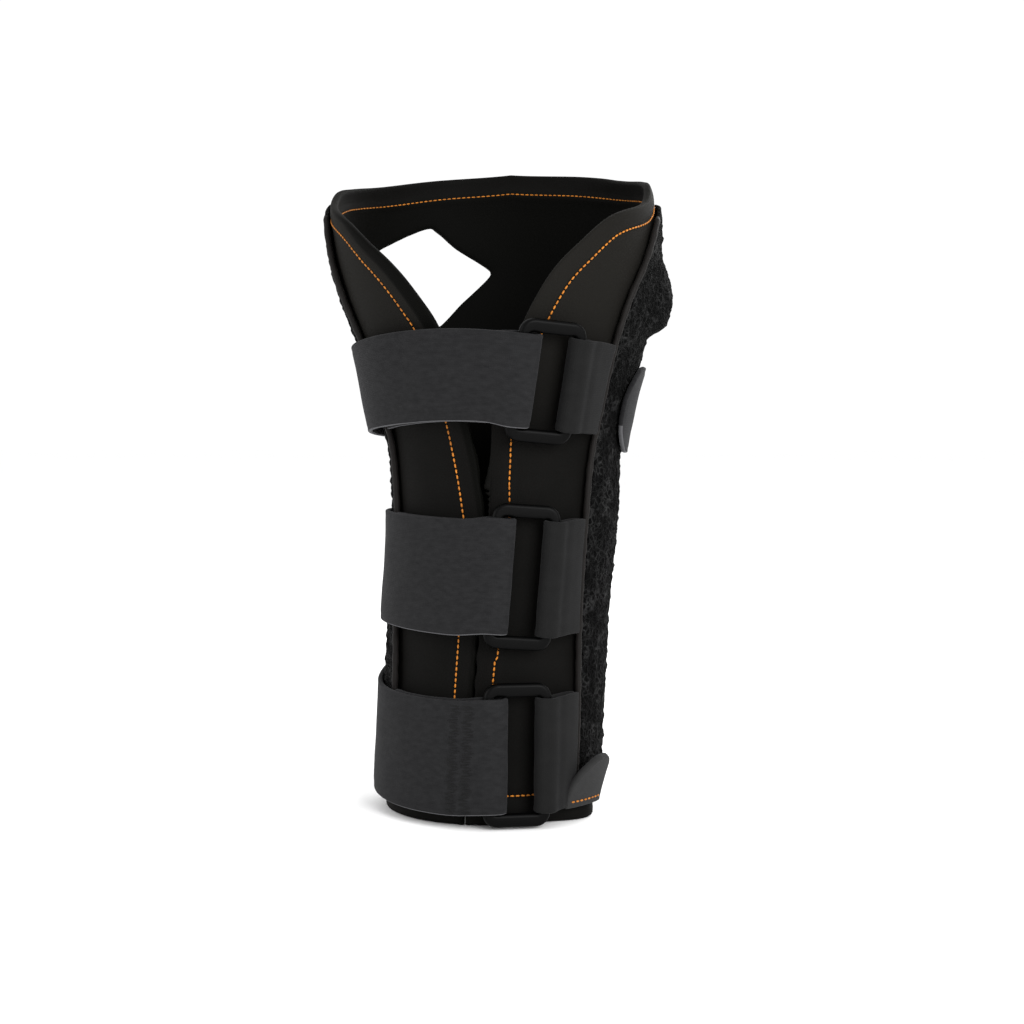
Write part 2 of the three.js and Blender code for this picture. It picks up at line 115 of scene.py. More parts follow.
edgeRise = smoothTable([
    (0, 0), (52, 0), (78, 0.02), (92, 0.3), (105, 0.45), (120, 0.58), (150, 0.86), (180, 1),
])
leftSeamAt = smoothTable([
    (0, 54), (0.25, 55), (0.43, 61), (0.52, 64), (0.62, 63), (0.77, 64), (0.83, 66),
    (0.88, 68), (0.94, 72), (1, 79),
])
rightSeamAt = smoothTable([
    (0, 59), (0.25, 56), (0.43, 53), (0.52, 53.5), (0.62, 57.5), (0.77, 60), (0.83, 64),
    (0.88, 70.5), (0.94, 80), (1, 92),
])


def easeIn(share):
    share = min(max(share, 0), 1)
    return share * share * (3 - 2 * share)


# Rises smoothly from 0 to 1 as the value goes from start to end
def ramp(value, start, end):
    return easeIn((value - start) / (end - start))


def lerp(start, end, share):
    return start + (end - start) * share


def halfWidthAt(height):
    flare = flareAt(height / form["sideHeight"])
    return (form["wristWidth"] + flare * (form["handWidth"] - form["wristWidth"])) / 2 - coverDepth


# A point in metres at an angle and height, so many mm outside the wrap's face
def wallPoint(angle, height, out=0.0):
    turn = math.radians(angle)
    up = height / form["sideHeight"]
    half = halfWidthAt(height)
    depth = half * form["wristDepth"] / form["wristWidth"]
    return Vector((
        form["swayReach"] * swayAt(up) + (half + out) * math.sin(turn) + form["shift"][0],
        form["leanReach"] * leanAt(up) - (depth + out) * math.cos(turn) + form["shift"][1],
        height,
    )) * mm


# Axes on the wrap's face: x round it, y up it, z straight out
def wallFrame(angle, height, out=0.0, tilt=0.0):
    around = wallPoint(angle + 0.5, height, out) - wallPoint(angle - 0.5, height, out)
    rise = wallPoint(angle, height + 0.5, out) - wallPoint(angle, height - 0.5, out)
    outward = around.cross(rise).normalized()
    up = Matrix.Rotation(tilt, 3, outward) @ rise.normalized()
    across = up.cross(outward)
    axes = Matrix((across, up, outward)).transposed().to_4x4()
    return Matrix.Translation(wallPoint(angle, height, out)) @ axes


def degreesOf(arc, height):
    return math.degrees(arc / halfWidthAt(height))


def topEdgeAt(angle):
    turn = (angle + 540) % 360 - 180
    edge = leftEdgeAt if turn < 0 else rightEdgeAt
    return form["sideHeight"] * edge(abs(turn)) + form["rimRise"] * edgeRise(abs(turn))


# The front gap leans over towards the cuff
def driftAt(turn, height):
    opening = easeIn(height / (0.475 * form["sideHeight"]))
    return -form["gapDrift"] * (1 - opening) * max(0, 1 - turn / 50)


# The upright line through the wrist's middle, at a height in metres
def axisAt(z):
    return Vector((form["shift"][0] * mm, form["shift"][1] * mm, z))


# How far, in mm, a place is from the nearest of many points
def nearestOf(points):
    tree = KDTree(len(points))
    for number, point in enumerate(points):
        tree.insert(point, number)
    tree.balance()
    return lambda place: tree.find(place)[2] / mm


# A smooth bend between two points, given how it leaves the one and arrives at the other
def easedBetween(start, end, leave, arrive, share):
    return (
        start + leave * share + (3 * (end - start) - 2 * leave - arrive) * share * share
        + (2 * (start - end) + leave + arrive) * share**3
    )


# Evenly spaced points along a line of points, with the way it runs at each
def evenSteps(points, pitch):
    spots = []
    travelled = 0.0
    wanted = pitch / 2
    for start, end in zip(points, points[1:]):
        length = (end - start).length / mm
        while travelled + length >= wanted:
            spots.append((start.lerp(end, (wanted - travelled) / length), (end - start).normalized()))
            wanted += pitch
        travelled += length
    return spots


# An sRGB hex colour as linear values
def hexColour(code):
    parts = [int(code[k:k + 2], 16) / 255 for k in (1, 3, 5)]
    return [p / 12.92 if p <= 0.04045 else ((p + 0.055) / 1.055) ** 2.4 for p in parts] + [1.0]


# Adds a shader node, sets its settings and sockets, and links sockets to other nodes' outputs
def addNode(tree, kind, settings=None, sockets=None, links=None):
    node = tree.nodes.new("ShaderNode" + kind)
    for name, value in (settings or {}).items():
        setattr(node, name, value)
    for name, value in (sockets or {}).items():
        node.inputs[name].default_value = value
    for name, (other, output) in (links or {}).items():
        tree.links.new(other.outputs[output], node.inputs[name])
    return node


def newMaterial(name):
    material = bpy.data.materials.new(name)
    material.use_nodes = True
    tree = material.node_tree
    tree.nodes.clear()
    output = addNode(tree, "OutputMaterial")
    return material, tree, output


wavePeriod = 0.314  # the width of one wave of a Wave Texture at a scale of 1


# Woven or knitted cloth on the piece's own place on the flat cloth, in mm. Its look gives the
# thread spacings as ribPitch and pickPitch, and the size of the loose hairs as fuzzSize
def clothMaterial(name, look):
    material, tree, output = newMaterial(name)
    place = addNode(tree, "Attribute", {"attribute_name": "clothPlace"})
    drawn = addNode(
        tree, "Mapping", {}, {"Scale": (look["stretch"], 1.0, 1.0)}, {"Vector": (place, "Vector")}
    )
    mottle = addNode(
        tree, "TexNoise", {}, {"Scale": 1 / look["mottleSize"], "Detail": 3.0, "Roughness": 0.6},
        {"Vector": (drawn, "Vector")},
    )
    fuzz = addNode(
        tree, "TexNoise", {}, {"Scale": 1 / look["fuzzSize"], "Detail": 2.0},
        {"Vector": (place, "Vector")},
    )
    ribs = addNode(
        tree, "TexWave", {"bands_direction": "Y"},
        {"Scale": wavePeriod / look["ribPitch"], "Distortion": 0.6, "Detail": 1.0, "Detail Scale": 1.5},
        {"Vector": (place, "Vector")},
    )
    picks = addNode(
        tree, "TexWave", {"bands_direction": "X"},
        {"Scale": wavePeriod / look["pickPitch"], "Distortion": 0.8, "Detail": 1.0},
        {"Vector": (place, "Vector")},
    )
    weave = addNode(tree, "Math", {"operation": "MULTIPLY"}, {}, {0: (ribs, "Fac"), 1: (picks, "Fac")})
    relief = addNode(
        tree, "Math", {"operation": "MULTIPLY_ADD"}, {1: look["fuzzDepth"]},
        {0: (fuzz, "Fac"), 2: (weave, "Value")},
    )
    shade = addNode(
        tree, "MixRGB", {}, {"Color1": hexColour(look["dark"]), "Color2": hexColour(look["light"])},
        {"Fac": (mottle, "Fac")},
    )
    colour = addNode(
        tree, "MixRGB", {"blend_type": "MULTIPLY"}, {"Fac": look["threadShade"]},
        {"Color1": (shade, "Color"), "Color2": (weave, "Value")},
    )
    bump = addNode(
        tree, "Bump", {}, {"Strength": look["bump"], "Distance": 0.2 * mm},
        {"Height": (relief, "Value")},
    )
    shader = addNode(
        tree, "BsdfPrincipled", {},
        {
            "Roughness": look["roughness"], "IOR": 1.45, "Specular IOR Level": look["specular"],
            "Sheen Weight": look["sheen"], "Sheen Roughness": 0.45,
            "Sheen Tint": hexColour(look["sheenTint"]),
        },
        {"Base Color": (colour, "Color"), "Normal": (bump, "Normal")},
    )
    tree.links.new(shader.outputs[0], output.inputs[0])
    return material, tree, shader, colour


# A flat cloth one wide and one high, which each piece lays in its place
def flatCloth(columns, rows):
    bm = bmesh.new()
    bmesh.ops.create_grid(bm, x_segments=columns, y_segments=rows, size=0.5)
    bmesh.ops.translate(bm, verts=bm.verts, vec=(0.5, 0.5, 0))
    return bm


# Gives the laid cloth its thickness, inwards, and swells its cut edges out by the rounding.
# The third number of clothPlace runs from 0 on the outer face to 1 on the inner one
def thicken(bm, thickness, rounding, strips=6):
    layers = bm.verts.layers.float_vector
    layers.new("edgeAway")
    layers.new("edgeDepth")  # a new layer moves the older ones, so they are fetched after it
    place, away, depth = layers["clothPlace"], layers["edgeAway"], layers["edgeDepth"]
    made = bmesh.ops.solidify(bm, geom=bm.faces[:], thickness=thickness * mm)
    for item in made["geom"]:
        if isinstance(item, bmesh.types.BMVert):
            item[place] = (item[place][0], item[place][1], 1)
    bm.normal_update()
    across = [e for e in bm.edges if abs(e.verts[0][place][2] - e.verts[1][place][2]) > 0.5]
    for edge in across:
        near, far = sorted(edge.verts, key=lambda v: v[place][2])
        for v in edge.verts:
            v[away] = sum((face.normal for face in edge.link_faces), Vector()).normalized()
            v[depth] = far.co - near.co
    bmesh.ops.subdivide_edges(bm, edges=across, cuts=strips - 1)
    for v in bm.verts:
        share = v[place][2]
        if 0.001 < share < 0.999:  # a vertex between the two faces
            turn = math.pi * share
            v.co += v[depth] * ((1 - math.cos(turn)) / 2 - share)
            v.co += v[away] * (rounding * mm * math.sin(turn))
    for name in ("edgeAway", "edgeDepth"):
        layers.remove(layers[name])


# Makes the piece's object, at the origin, and hides the model nodes it stands for
def finishPiece(name, bm, material, nodes=()):
    mesh = bpy.data.meshes.new(name)
    for face in bm.faces:
        face.smooth = True
    bm.to_mesh(mesh)
    bm.free()
    mesh.materials.append(material)
    piece = bpy.data.objects.new(name, mesh)
    bpy.context.scene.collection.objects.link(piece)
    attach(piece, "root")
    if nodes:
        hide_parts(*nodes)
    return piece


def flatArea(bm):
    return sum(face.calc_area() for face in bm.faces)


# Wrap
print("wrap")
wrap = {
    "columns": 300,
    "rows": 105,
    "crowding": 1.15,  # above 1 it puts more columns by the front gap
    "rowCrowding": 0.44,  # above 0 it puts more rows by the rims
    "rounding": 0.75,
    "footGap": 0.12,  # keeps the swollen lower edge off the floor
    "flapGap": 0.08,  # left between the flaps' swollen edges, each side
    "hemPuff": 0.45,  # how far the rolled hem swells between its edge and its stitching
    "hemWidth": 7.5,
    "stitchDip": 0.3,
    "dipWidth": 0.9,
    "rightHem": (5.8, 6.2),  # edge to stitching at the gap and at the corner
    "rimHem": 7.0,
    "cuffHem": 9.4,
    "cuffSwell": 4.2,  # the bottom hem's swelling under the foot of the pull tab
    "swellAngle": 67,
    "swellReach": 26,
    "swellHeight": 11,
    "dent": 0.55,  # soft dents of the foam
    "dentsPerMetre": 34,
    "dentFrom": 12,  # they are full this far from the edge
    "paintedLightTurn": (98, 74),  # painted light greys the flaps in front of these turns
    "paintedLightHeight": (112, 172),  # and above these heights
    "shadeTurn": (86, 74),
    "shadeBlur": 0.6,
}
startTurn = degreesOf(wrap["flapGap"] + wrap["rounding"], 0)
# The left hem from its edge to its stitching, and how wide a band of painted shade lies along its edge
leftHemAt = smoothTable([
    (0, 4.6), (0.45, 5.6), (0.6, 6.6), (0.77, 7.6), (0.88, 7.3), (0.95, 5.6), (1, 5),
])
paintedShadeWidthAt = smoothTable([
    (0, 0.8), (0.5, 1.2), (0.62, 2), (0.77, 3.6), (0.9, 2.6), (0.96, 0.8), (1, 0),
])


# The angle of a column, by its share of the way round
def wrapAngle(u):
    half = abs(2 * u - 1)
    turn = startTurn + (180 - startTurn) * (1 - half) ** wrap["crowding"]
    return turn if u < 0.5 else 360 - turn


# Angles and heights along the wrap's free edge: up the left flap's front, round the rim and
# down the right
def freeEdge(frontSteps=60, rimSteps=400, crowding=1.6):
    places = []
    for side in (-1, 1):
        line = []
        top = topEdgeAt(side * startTurn)
        for step in range(frontSteps):
            height = top * step / frontSteps
            line.append((side * startTurn + driftAt(startTurn, height), height))
        for step in range(rimSteps):
            turn = startTurn + (180 - startTurn) * (step / rimSteps) ** crowding
            line.append((side * turn, topEdgeAt(side * turn)))
        places.append(line)
    return places[0] + [(angle - 360, height) for angle, height in places[1][::-1]]


# How far the stitching keeps from the free edge
def hemDistance(angle, height):
    turn = (angle + 540) % 360 - 180
    corner = ramp(height / form["sideHeight"], 0.45, 0.95)
    near, far = wrap["rightHem"]
    flap = leftHemAt(height / form["sideHeight"]) if turn < 0 else lerp(near, far, corner)
    return lerp(flap, wrap["rimHem"], ramp(abs(turn), 74, 94))


edgePlaces = freeEdge()
edgePoints = [wallPoint(a, h) for a, h in edgePlaces]
edgeDistance = nearestOf(edgePoints)


# Where the hem's stitching runs, as angles and heights
def hemStitching():
    places = []
    for (angle, height), before, after in zip(edgePlaces[1:-1], edgePoints, edgePoints[2:]):
        axes = wallFrame(angle, height)
        along = (after - before).normalized()
        inward = axes.to_3x3().inverted() @ axes.to_3x3().col[2].cross(along)
        reach = hemDistance(angle, height)
        down = height + inward.y * reach
        turned = angle + degreesOf(inward.x * reach, max(down, 1))
        if down > wrap["cuffHem"]:
            places.append((turned, down))
    return places


stitchPlaces = hemStitching()
cuffPlaces = [(angle, wrap["cuffHem"]) for angle in range(5, 353, 2)]
stitchDistance = nearestOf([wallPoint(a, h) for a, h in stitchPlaces + cuffPlaces])


# How far the rolled hem stands out at a point, and the point's distances from edge and stitching
def hemShape(point, height):
    fromEdge = min(edgeDistance(point), height)
    fromStitch = stitchDistance(point)
    width = wrap["hemWidth"]
    puff = math.sin(math.pi * min(fromEdge / width, 1)) ** 0.7 if fromEdge < width else 0
    dip = math.exp(-((fromStitch / wrap["dipWidth"]) ** 2))
    return wrap["hemPuff"] * puff - wrap["stitchDip"] * dip, fromEdge, fromStitch


def cuffSwell(angle, height):
    near = max(0, 1 - abs(angle - wrap["swellAngle"]) / wrap["swellReach"])
    return wrap["cuffSwell"] * easeIn(near) * easeIn(1 - height / wrap["swellHeight"])


thumbHole = {
    "width": 48,
    "height": 36,
    "angle": -141.5,
    "up": 0.89,
    "ease": 0.3,  # 0 gives its outline sharp corners, 0.5 round ones
    "steps": 12,  # along each stretch of the outline
    "snap": 0.6,  # vertices this near the outline go onto it before the cut
    "search": 3,  # the cut edge's vertices lie this near the outline
    "near": 7,  # the cloth is smoothed this far round the hole
    "rounds": 10,
    "depthRounds": 6,  # of evening out how deep the cut edge lies
    "behind": -30,  # points this far behind the hole's middle are on the other side of the wrap
    "knots": [
        (-1, 0.05), (-0.52, 0.6), (-0.17, 1), (0.25, 0.84), (0.85, 0.44), (1, 0), (0.82, -0.55),
        (0.3, -0.9), (-0.08, -1), (-0.5, -0.55),
    ],
}


# The hole's outline on its own flat plane, wider all round by the margin
def thumbOutline(margin):
    size = Vector((thumbHole["width"] / 2 + margin, thumbHole["height"] / 2 + margin))
    knots = [Vector((side * size.x, up * size.y)) for side, up in thumbHole["knots"]]
    outline = []
    for k in range(len(knots)):
        before, start, end, after = (knots[(k + n) % len(knots)] for n in (-1, 0, 1, 2))
        leave, arrive = (end - before) * thumbHole["ease"], (after - start) * thumbHole["ease"]
        for step in range(thumbHole["steps"]):
            outline.append(easedBetween(start, end, leave, arrive, step / thumbHole["steps"]))
    return outline


# The free vertices round the hole, in order
def edgeRing(cut):
    ring = [cut[0]]
    while len(ring) <= len(cut):
        ahead = [
            e.other_vert(ring[-1]) for e in ring[-1].link_edges
            if e.is_boundary and e.other_vert(ring[-1]) in cut
        ]
        ahead = [v for v in ahead if v not in ring[-2:] and v is not ring[0]]
        if not ahead:
            break
        ring.append(ahead[0])
    return ring


# Cuts the thumb hole out of the laid cloth and spreads the cut edge evenly along the outline
def cutThumbHole(bm, margin):
    outline = thumbOutline(margin)
    frameIn = wallFrame(thumbHole["angle"], thumbHole["up"] * form["sideHeight"]).inverted()
    frameOut = frameIn.inverted()
    tree = KDTree(len(outline))
    for k, point in enumerate(outline):
        tree.insert((point.x, point.y, 0), k)
    tree.balance()
    gaps = {}  # each vertex's distance from the outline, negative inside it
    for v in bm.verts:
        local = (frameIn @ v.co) / mm
        spot, k, gap = tree.find((local.x, local.y, 0))
        ahead = outline[(k + 1) % len(outline)] - outline[k - 1]
        outside = ahead.x * (local.y - outline[k].y) - ahead.y * (local.x - outline[k].x) > 0
        gaps[v] = (gap if outside else -gap) if local.z > thumbHole["behind"] else math.inf
        if abs(gaps[v]) < thumbHole["snap"]:
            v.co = frameOut @ (Vector((spot.x, spot.y, local.z)) * mm)
            gaps[v] = 0
    doomed = [f for f in bm.faces if sum(gaps[v] for v in f.verts) < 0]
    bmesh.ops.delete(bm, geom=doomed, context="FACES")
    ring = edgeRing([v for v in bm.verts if v.is_boundary and abs(gaps[v]) < thumbHole["search"]])
    lengths = [0.0]
    for a, b in zip(outline, outline[1:] + outline[:1]):
        lengths.append(lengths[-1] + (b - a).length)
    total = lengths[-1]
    flat = [(frameIn @ v.co) / mm for v in ring]
    marks = [lengths[tree.find((p.x, p.y, 0))[1]] for p in flat]
    onward = sum(1 if (b - a) % total < total / 2 else -1 for a, b in zip(marks, marks[1:]))
    depths = [p.z for p in flat]
    for _ in range(thumbHole["depthRounds"]):
        depths = [
            (depths[k - 1] + 2 * depths[k] + depths[(k + 1) % len(depths)]) / 4
            for k in range(len(depths))
        ]
    for k, vertex in enumerate(ring):
        run = (marks[0] + (1 if onward > 0 else -1) * total * k / len(ring)) % total
        n = bisect.bisect_right(lengths, run) - 1
        share = (run - lengths[n]) / (lengths[n + 1] - lengths[n])
        spot = outline[n].lerp(outline[(n + 1) % len(outline)], share)
        vertex.co = frameOut @ (Vector((spot.x, spot.y, depths[k])) * mm)
    near = [v for v in bm.verts if not v.is_boundary and abs(gaps[v]) < thumbHole["near"]]
    for _ in range(thumbHole["rounds"]):
        bmesh.ops.smooth_vert(
            bm, verts=near, factor=0.5, use_axis_x=True, use_axis_y=True, use_axis_z=True
        )


# hemPlace holds the distances from the free edge and from the stitching, then the share of painted light
# on the flaps' upper ends, or, below 0, the share of painted shade along the left hem's edge
def makeWrap():
    bm = flatCloth(wrap["columns"], wrap["rows"])
    place = bm.verts.layers.float_vector.new("clothPlace")
    hem = bm.verts.layers.float_vector.new("hemPlace")
    foot = wrap["rounding"] + wrap["footGap"]
    for v in bm.verts:
        angle = wrapAngle(v.co.x)
        share = v.co.y - wrap["rowCrowding"] * math.sin(2 * math.pi * v.co.y) / (2 * math.pi)
        height = lerp(foot, topEdgeAt(angle) - wrap["rounding"], share)
        leftSide = angle > 180
        turn = min(angle, 360 - angle)
        angle += driftAt(turn, height)
        bare = wallPoint(angle, height)
        out, fromEdge, fromStitch = hemShape(bare, height)
        soft = noise.noise(bare * wrap["dentsPerMetre"]) * wrap["dent"]
        out += soft * ramp(fromEdge, 0, wrap["dentFrom"]) + cuffSwell(angle, height)
        v.co = wallPoint(angle, height, out)
        v[place] = (math.radians(angle) * halfWidthAt(height), height, 0)
        # painted light on the flaps' upper ends, standing in for the light that falls there
        paintedLight = ramp(turn, *wrap["paintedLightTurn"]) * ramp(height, *wrap["paintedLightHeight"])
        # painted shade along the left hem's edge, in the lining's dark colour
        under = paintedShadeWidthAt(height / form["sideHeight"])
        shade = ramp(fromEdge, under + wrap["shadeBlur"], under - wrap["shadeBlur"])
        paintedShade = shade * ramp(turn, *wrap["shadeTurn"]) if leftSide else 0
        v[hem] = (fromEdge, fromStitch, paintedLight * (1 - paintedShade) - paintedShade)
    bm.normal_update()
    middles = [(f, f.calc_center_median()) for f in bm.faces]
    inward = [f for f, middle in middles if f.normal.dot(middle - axisAt(middle.z)) < 0]
    bmesh.ops.reverse_faces(bm, faces=inward)
    bm.normal_update()
    cutThumbHole(bm, wrap["rounding"])
    area = flatArea(bm)
    thicken(bm, form["wall"], wrap["rounding"])
    bmesh.ops.dissolve_degenerate(bm, edges=bm.edges[:], dist=0.02 * mm)
    return bm, area


faceCloth = {
    # Nylon tricot laminated on foam: smooth matt black that greys a little at grazing angles
    "dark": "#060605", "light": "#0d0c0b", "mottleSize": 16.0, "stretch": 1.0,
    "fuzzSize": 0.9, "fuzzDepth": 0.7,
    "ribPitch": 0.5, "pickPitch": 0.5, "threadShade": 0.15, "bump": 0.15, "roughness": 0.7,
    "specular": 0.045, "sheen": 0.008, "sheenTint": "#c8c4be",
    # the crease colour is painted shade in the stitching's groove
    # the last colour here, for the flaps' upper ends, is painted light
    # the lining colour is also painted along the left hem's edge as shade
    "lining": "#030302", "liningFrom": 7.2, "crease": "#040403", "paintedLight": "#141311",
}


def faceClothMaterial():
    material, tree, shader, colour = clothMaterial("nylonTricotOnFoam", faceCloth)
    place = addNode(tree, "Attribute", {"attribute_name": "clothPlace"})
    hem = addNode(tree, "Attribute", {"attribute_name": "hemPlace"})
    inside = addNode(tree, "SeparateXYZ", {}, {}, {0: (place, "Vector")})
    reach = addNode(tree, "SeparateXYZ", {}, {}, {0: (hem, "Vector")})
    beyond = addNode(
        tree, "MapRange", {},
        {"From Min": faceCloth["liningFrom"], "From Max": faceCloth["liningFrom"] + 0.7},
        {"Value": (reach, "X")},
    )
    lined = addNode(tree, "Math", {"operation": "MULTIPLY"}, {}, {0: (beyond, 0), 1: (inside, "Z")})
    # Painted light: the flaps' upper ends are painted greyer than the rest. Painted shade: the left
    # hem's edge is painted the lining's dark colour
    paintedLight = addNode(
        tree, "MixRGB", {}, {"Color2": hexColour(faceCloth["paintedLight"])},
        {"Fac": (reach, "Z"), "Color1": (colour, "Color")},
    )
    # painted shade: the left hem's edge takes the lining's dark colour
    under = addNode(tree, "Math", {"operation": "MULTIPLY"}, {1: -1.0}, {0: (reach, "Z")})
    paintedShade = addNode(
        tree, "MixRGB", {}, {"Color2": hexColour(faceCloth["lining"])},
        {"Fac": (under, 0), "Color1": (paintedLight, "Color")},
    )
    lining = addNode(
        tree, "MixRGB", {}, {"Color2": hexColour(faceCloth["lining"])},
        {"Fac": (lined, 0), "Color1": (paintedShade, "Color")},
    )
    # painted shade: the cloth is darkened in the groove along the stitching
    groove = addNode(
        tree, "MapRange", {}, {"From Min": 0.2, "From Max": 0.9, "To Min": 0.65, "To Max": 0.0},
        {"Value": (reach, "Y")},
    )
    paintedGrooveShade = addNode(
        tree, "MixRGB", {}, {"Color2": hexColour(faceCloth["crease"])},
        {"Fac": (groove, 0), "Color1": (lining, "Color")},
    )
    tree.links.new(paintedGrooveShade.outputs["Color"], shader.inputs["Base Color"])
    return material


wrapBm, wrapArea = makeWrap()
wrapPiece = finishPiece("padded_wrap", wrapBm, faceClothMaterial(), ["wrap"])

# Pile panel
print("pile panel")
panel = {
    "columns": 210,
    "rows": 190,
    "rimBand": 8.2,
    "leftRise": 4.2,  # its upper edge comes this much nearer the rim at the left seam
    "leftAngle": 281,
    "cuffBand": 7,
    "thickness": 1.5,
    "pileShare": 0.25,  # of the thickness, in mm, left to the loops that stand on it
    "rounding": 0.4,
    "holeMargin": 1.9,
    "clumpSize": 3.1,  # loops of the pile lie in clumps about this wide
    "clumpDepth": 0.85,
    "edgeDepth": 0.35,  # share of that depth left at the panel's edge
    "edgeReach": 3,
    "wide": 207,  # rough size, for the distance from its edge
    "tall": 180,
    "sink": 0.1,
    "lumpRate": 1.25, "lumpShare": 0.6,  # lumps, and the loops on them
    "loopRate": 1.1, "loopShare": 0.9,
    "reliefMiddle": 0.35,
    "pocketAngle": 98,
    "pocketFoot": 0.768,
    "pocketWidth": 34,
    "pocketHeight": 30,
    "pocketLift": 5.6,
}


# How far the end of the stay's pocket lifts the panel
def pocketAt(angle, height):
    side = degreesOf(panel["pocketWidth"] / 2, height)
    across = max(0, 1 - abs(angle - panel["pocketAngle"]) / side)
    up = (height - panel["pocketFoot"] * form["sideHeight"]) / panel["pocketHeight"]
    if up <= 0 or up >= 1:
        return 0
    return panel["pocketLift"] * easeIn(across) * easeIn(up / 0.18) * easeIn((1 - up) / 0.6)


def rimBandAt(angle):
    near = max(0, 1 - abs(angle - panel["leftAngle"]) / 60)
    return panel["rimBand"] - panel["leftRise"] * easeIn(near)


# Lumps with loops on them, from about -1 to 1
def pileRelief(point):
    place = point / (panel["clumpSize"] * mm)
    lump = noise.noise(place * panel["lumpRate"])
    loops = noise.voronoi(place * panel["loopRate"])[0]
    return lump * panel["lumpShare"] + (loops[1] - loops[0]) * panel["loopShare"] - panel["reliefMiddle"]


def makePanel():
    bm = flatCloth(panel["columns"], panel["rows"])
    place = bm.verts.layers.float_vector.new("clothPlace")
    for v in bm.verts:
        u, share = v.co.x, v.co.y
        height = lerp(panel["cuffBand"], form["sideHeight"] - panel["rimBand"], share)
        for _ in range(4):  # the seams' angles and the rim's height settle on each other
            room = degreesOf(form["piping"] / 2 + form["layerGap"], height)
            right = rightSeamAt(height / form["sideHeight"]) + room
            left = 360 - leftSeamAt(height / form["sideHeight"]) - room
            angle = lerp(right, left, u)
            height = lerp(panel["cuffBand"], topEdgeAt(angle) - rimBandAt(angle), share)
        out = coverDepth + pocketAt(angle, height)
        bare = wallPoint(angle, height, out)
        fromEdge = min(min(share, 1 - share) * panel["tall"], min(u, 1 - u) * panel["wide"])
        depth = panel["clumpDepth"] * lerp(panel["edgeDepth"], 1, ramp(fromEdge, 0, panel["edgeReach"]))
        v.co = wallPoint(angle, height, out + depth * pileRelief(bare) - panel["sink"])
        v[place] = (math.radians(angle) * halfWidthAt(height), height, 0)
    bm.normal_update()
    cutThumbHole(bm, panel["holeMargin"])
    area = flatArea(bm)
    thicken(bm, panel["thickness"] - panel["pileShare"], panel["rounding"], 4)
    return bm, area


loopPile = {
    # Brushed nylon loop pile: deep black between the loops, greyish where they catch light
    "dark": "#030303", "light": "#2c2c2c", "loopSize": 1.9, "hairSize": 0.5, "patchSize": 6.5,
    "wander": 2.2,  # how far the net of loops is pushed about
    "sheen": 0.006, "sheenTint": "#b8b8b8",
}


def loopPileMaterial():
    material, tree, output = newMaterial("brushedLoopPile")
    place = addNode(tree, "TexCoord")
    wander = addNode(
        tree, "TexNoise", {}, {"Scale": 1 / (2.2 * loopPile["loopSize"] * mm), "Detail": 2.0},
        {"Vector": (place, "Object")},
    )
    push = addNode(
        tree, "VectorMath", {"operation": "MULTIPLY_ADD"}, {1: [loopPile["wander"] * mm] * 3},
        {0: (wander, "Color"), 2: (place, "Object")},
    )
    loops = addNode(
        tree, "TexVoronoi", {"feature": "DISTANCE_TO_EDGE"},
        {"Scale": 1 / (loopPile["loopSize"] * mm)}, {"Vector": (push, "Vector")},
    )
    ropes = addNode(
        tree, "MapRange", {}, {"From Min": 0.02, "From Max": 0.24, "To Min": 1.0, "To Max": 0.0},
        {"Value": (loops, "Distance")},
    )
    hairs = addNode(
        tree, "TexNoise", {}, {"Scale": 1 / (loopPile["hairSize"] * mm), "Detail": 3.0},
        {"Vector": (place, "Object")},
    )
    height = addNode(
        tree, "Math", {"operation": "MULTIPLY_ADD"}, {1: 0.7}, {0: (hairs, "Fac"), 2: (ropes, 0)}
    )
    patches = addNode(
        tree, "TexNoise", {},
        {"Scale": 1 / (loopPile["patchSize"] * mm), "Detail": 5.0, "Roughness": 0.72},
        {"Vector": (place, "Object")},
    )
    lit = addNode(
        tree, "MapRange", {}, {"From Min": 0.47, "From Max": 0.66, "To Min": 0.1, "To Max": 1.0},
        {"Value": (patches, "Fac")},
    )
    catch = addNode(tree, "Math", {"operation": "MULTIPLY"}, {}, {0: (ropes, 0), 1: (lit, 0)})
    colour = addNode(
        tree, "MixRGB", {},
        {"Color1": hexColour(loopPile["dark"]), "Color2": hexColour(loopPile["light"])},
        {"Fac": (catch, 0)},
    )
    bump = addNode(tree, "Bump", {}, {"Strength": 1.0, "Distance": 0.9 * mm}, {"Height": (height, 0)})
    shader = addNode(
        tree, "BsdfPrincipled", {},
        {"Roughness": 0.85, "Specular IOR Level": 0.03, "Sheen Weight": loopPile["sheen"],
         "Sheen Roughness": 0.5, "Sheen Tint": hexColour(loopPile["sheenTint"])},
        {"Base Color": (colour, "Color"), "Normal": (bump, "Normal")},
    )
    tree.links.new(shader.outputs[0], output.inputs[0])
    return material


panelBm, panelArea = makePanel()
panelPiece = finishPiece("loop_pile_panel", panelBm, loopPileMaterial(), ["pile_panel"])

# Pipings
print("pipings")
piping = {
    "seed": 1,
    "radius": 1.0, "sides": 14, "steps": 150, "foot": 5, "leftTop": 4.4, "rightTop": 2.4,
    "wander": 0.07, "twist": 0.08,  # the slight unevenness of hand-fed binding
}
# noise_vector follows this seed, so the pipings wander alike in each run
noise.seed_set(piping["seed"])


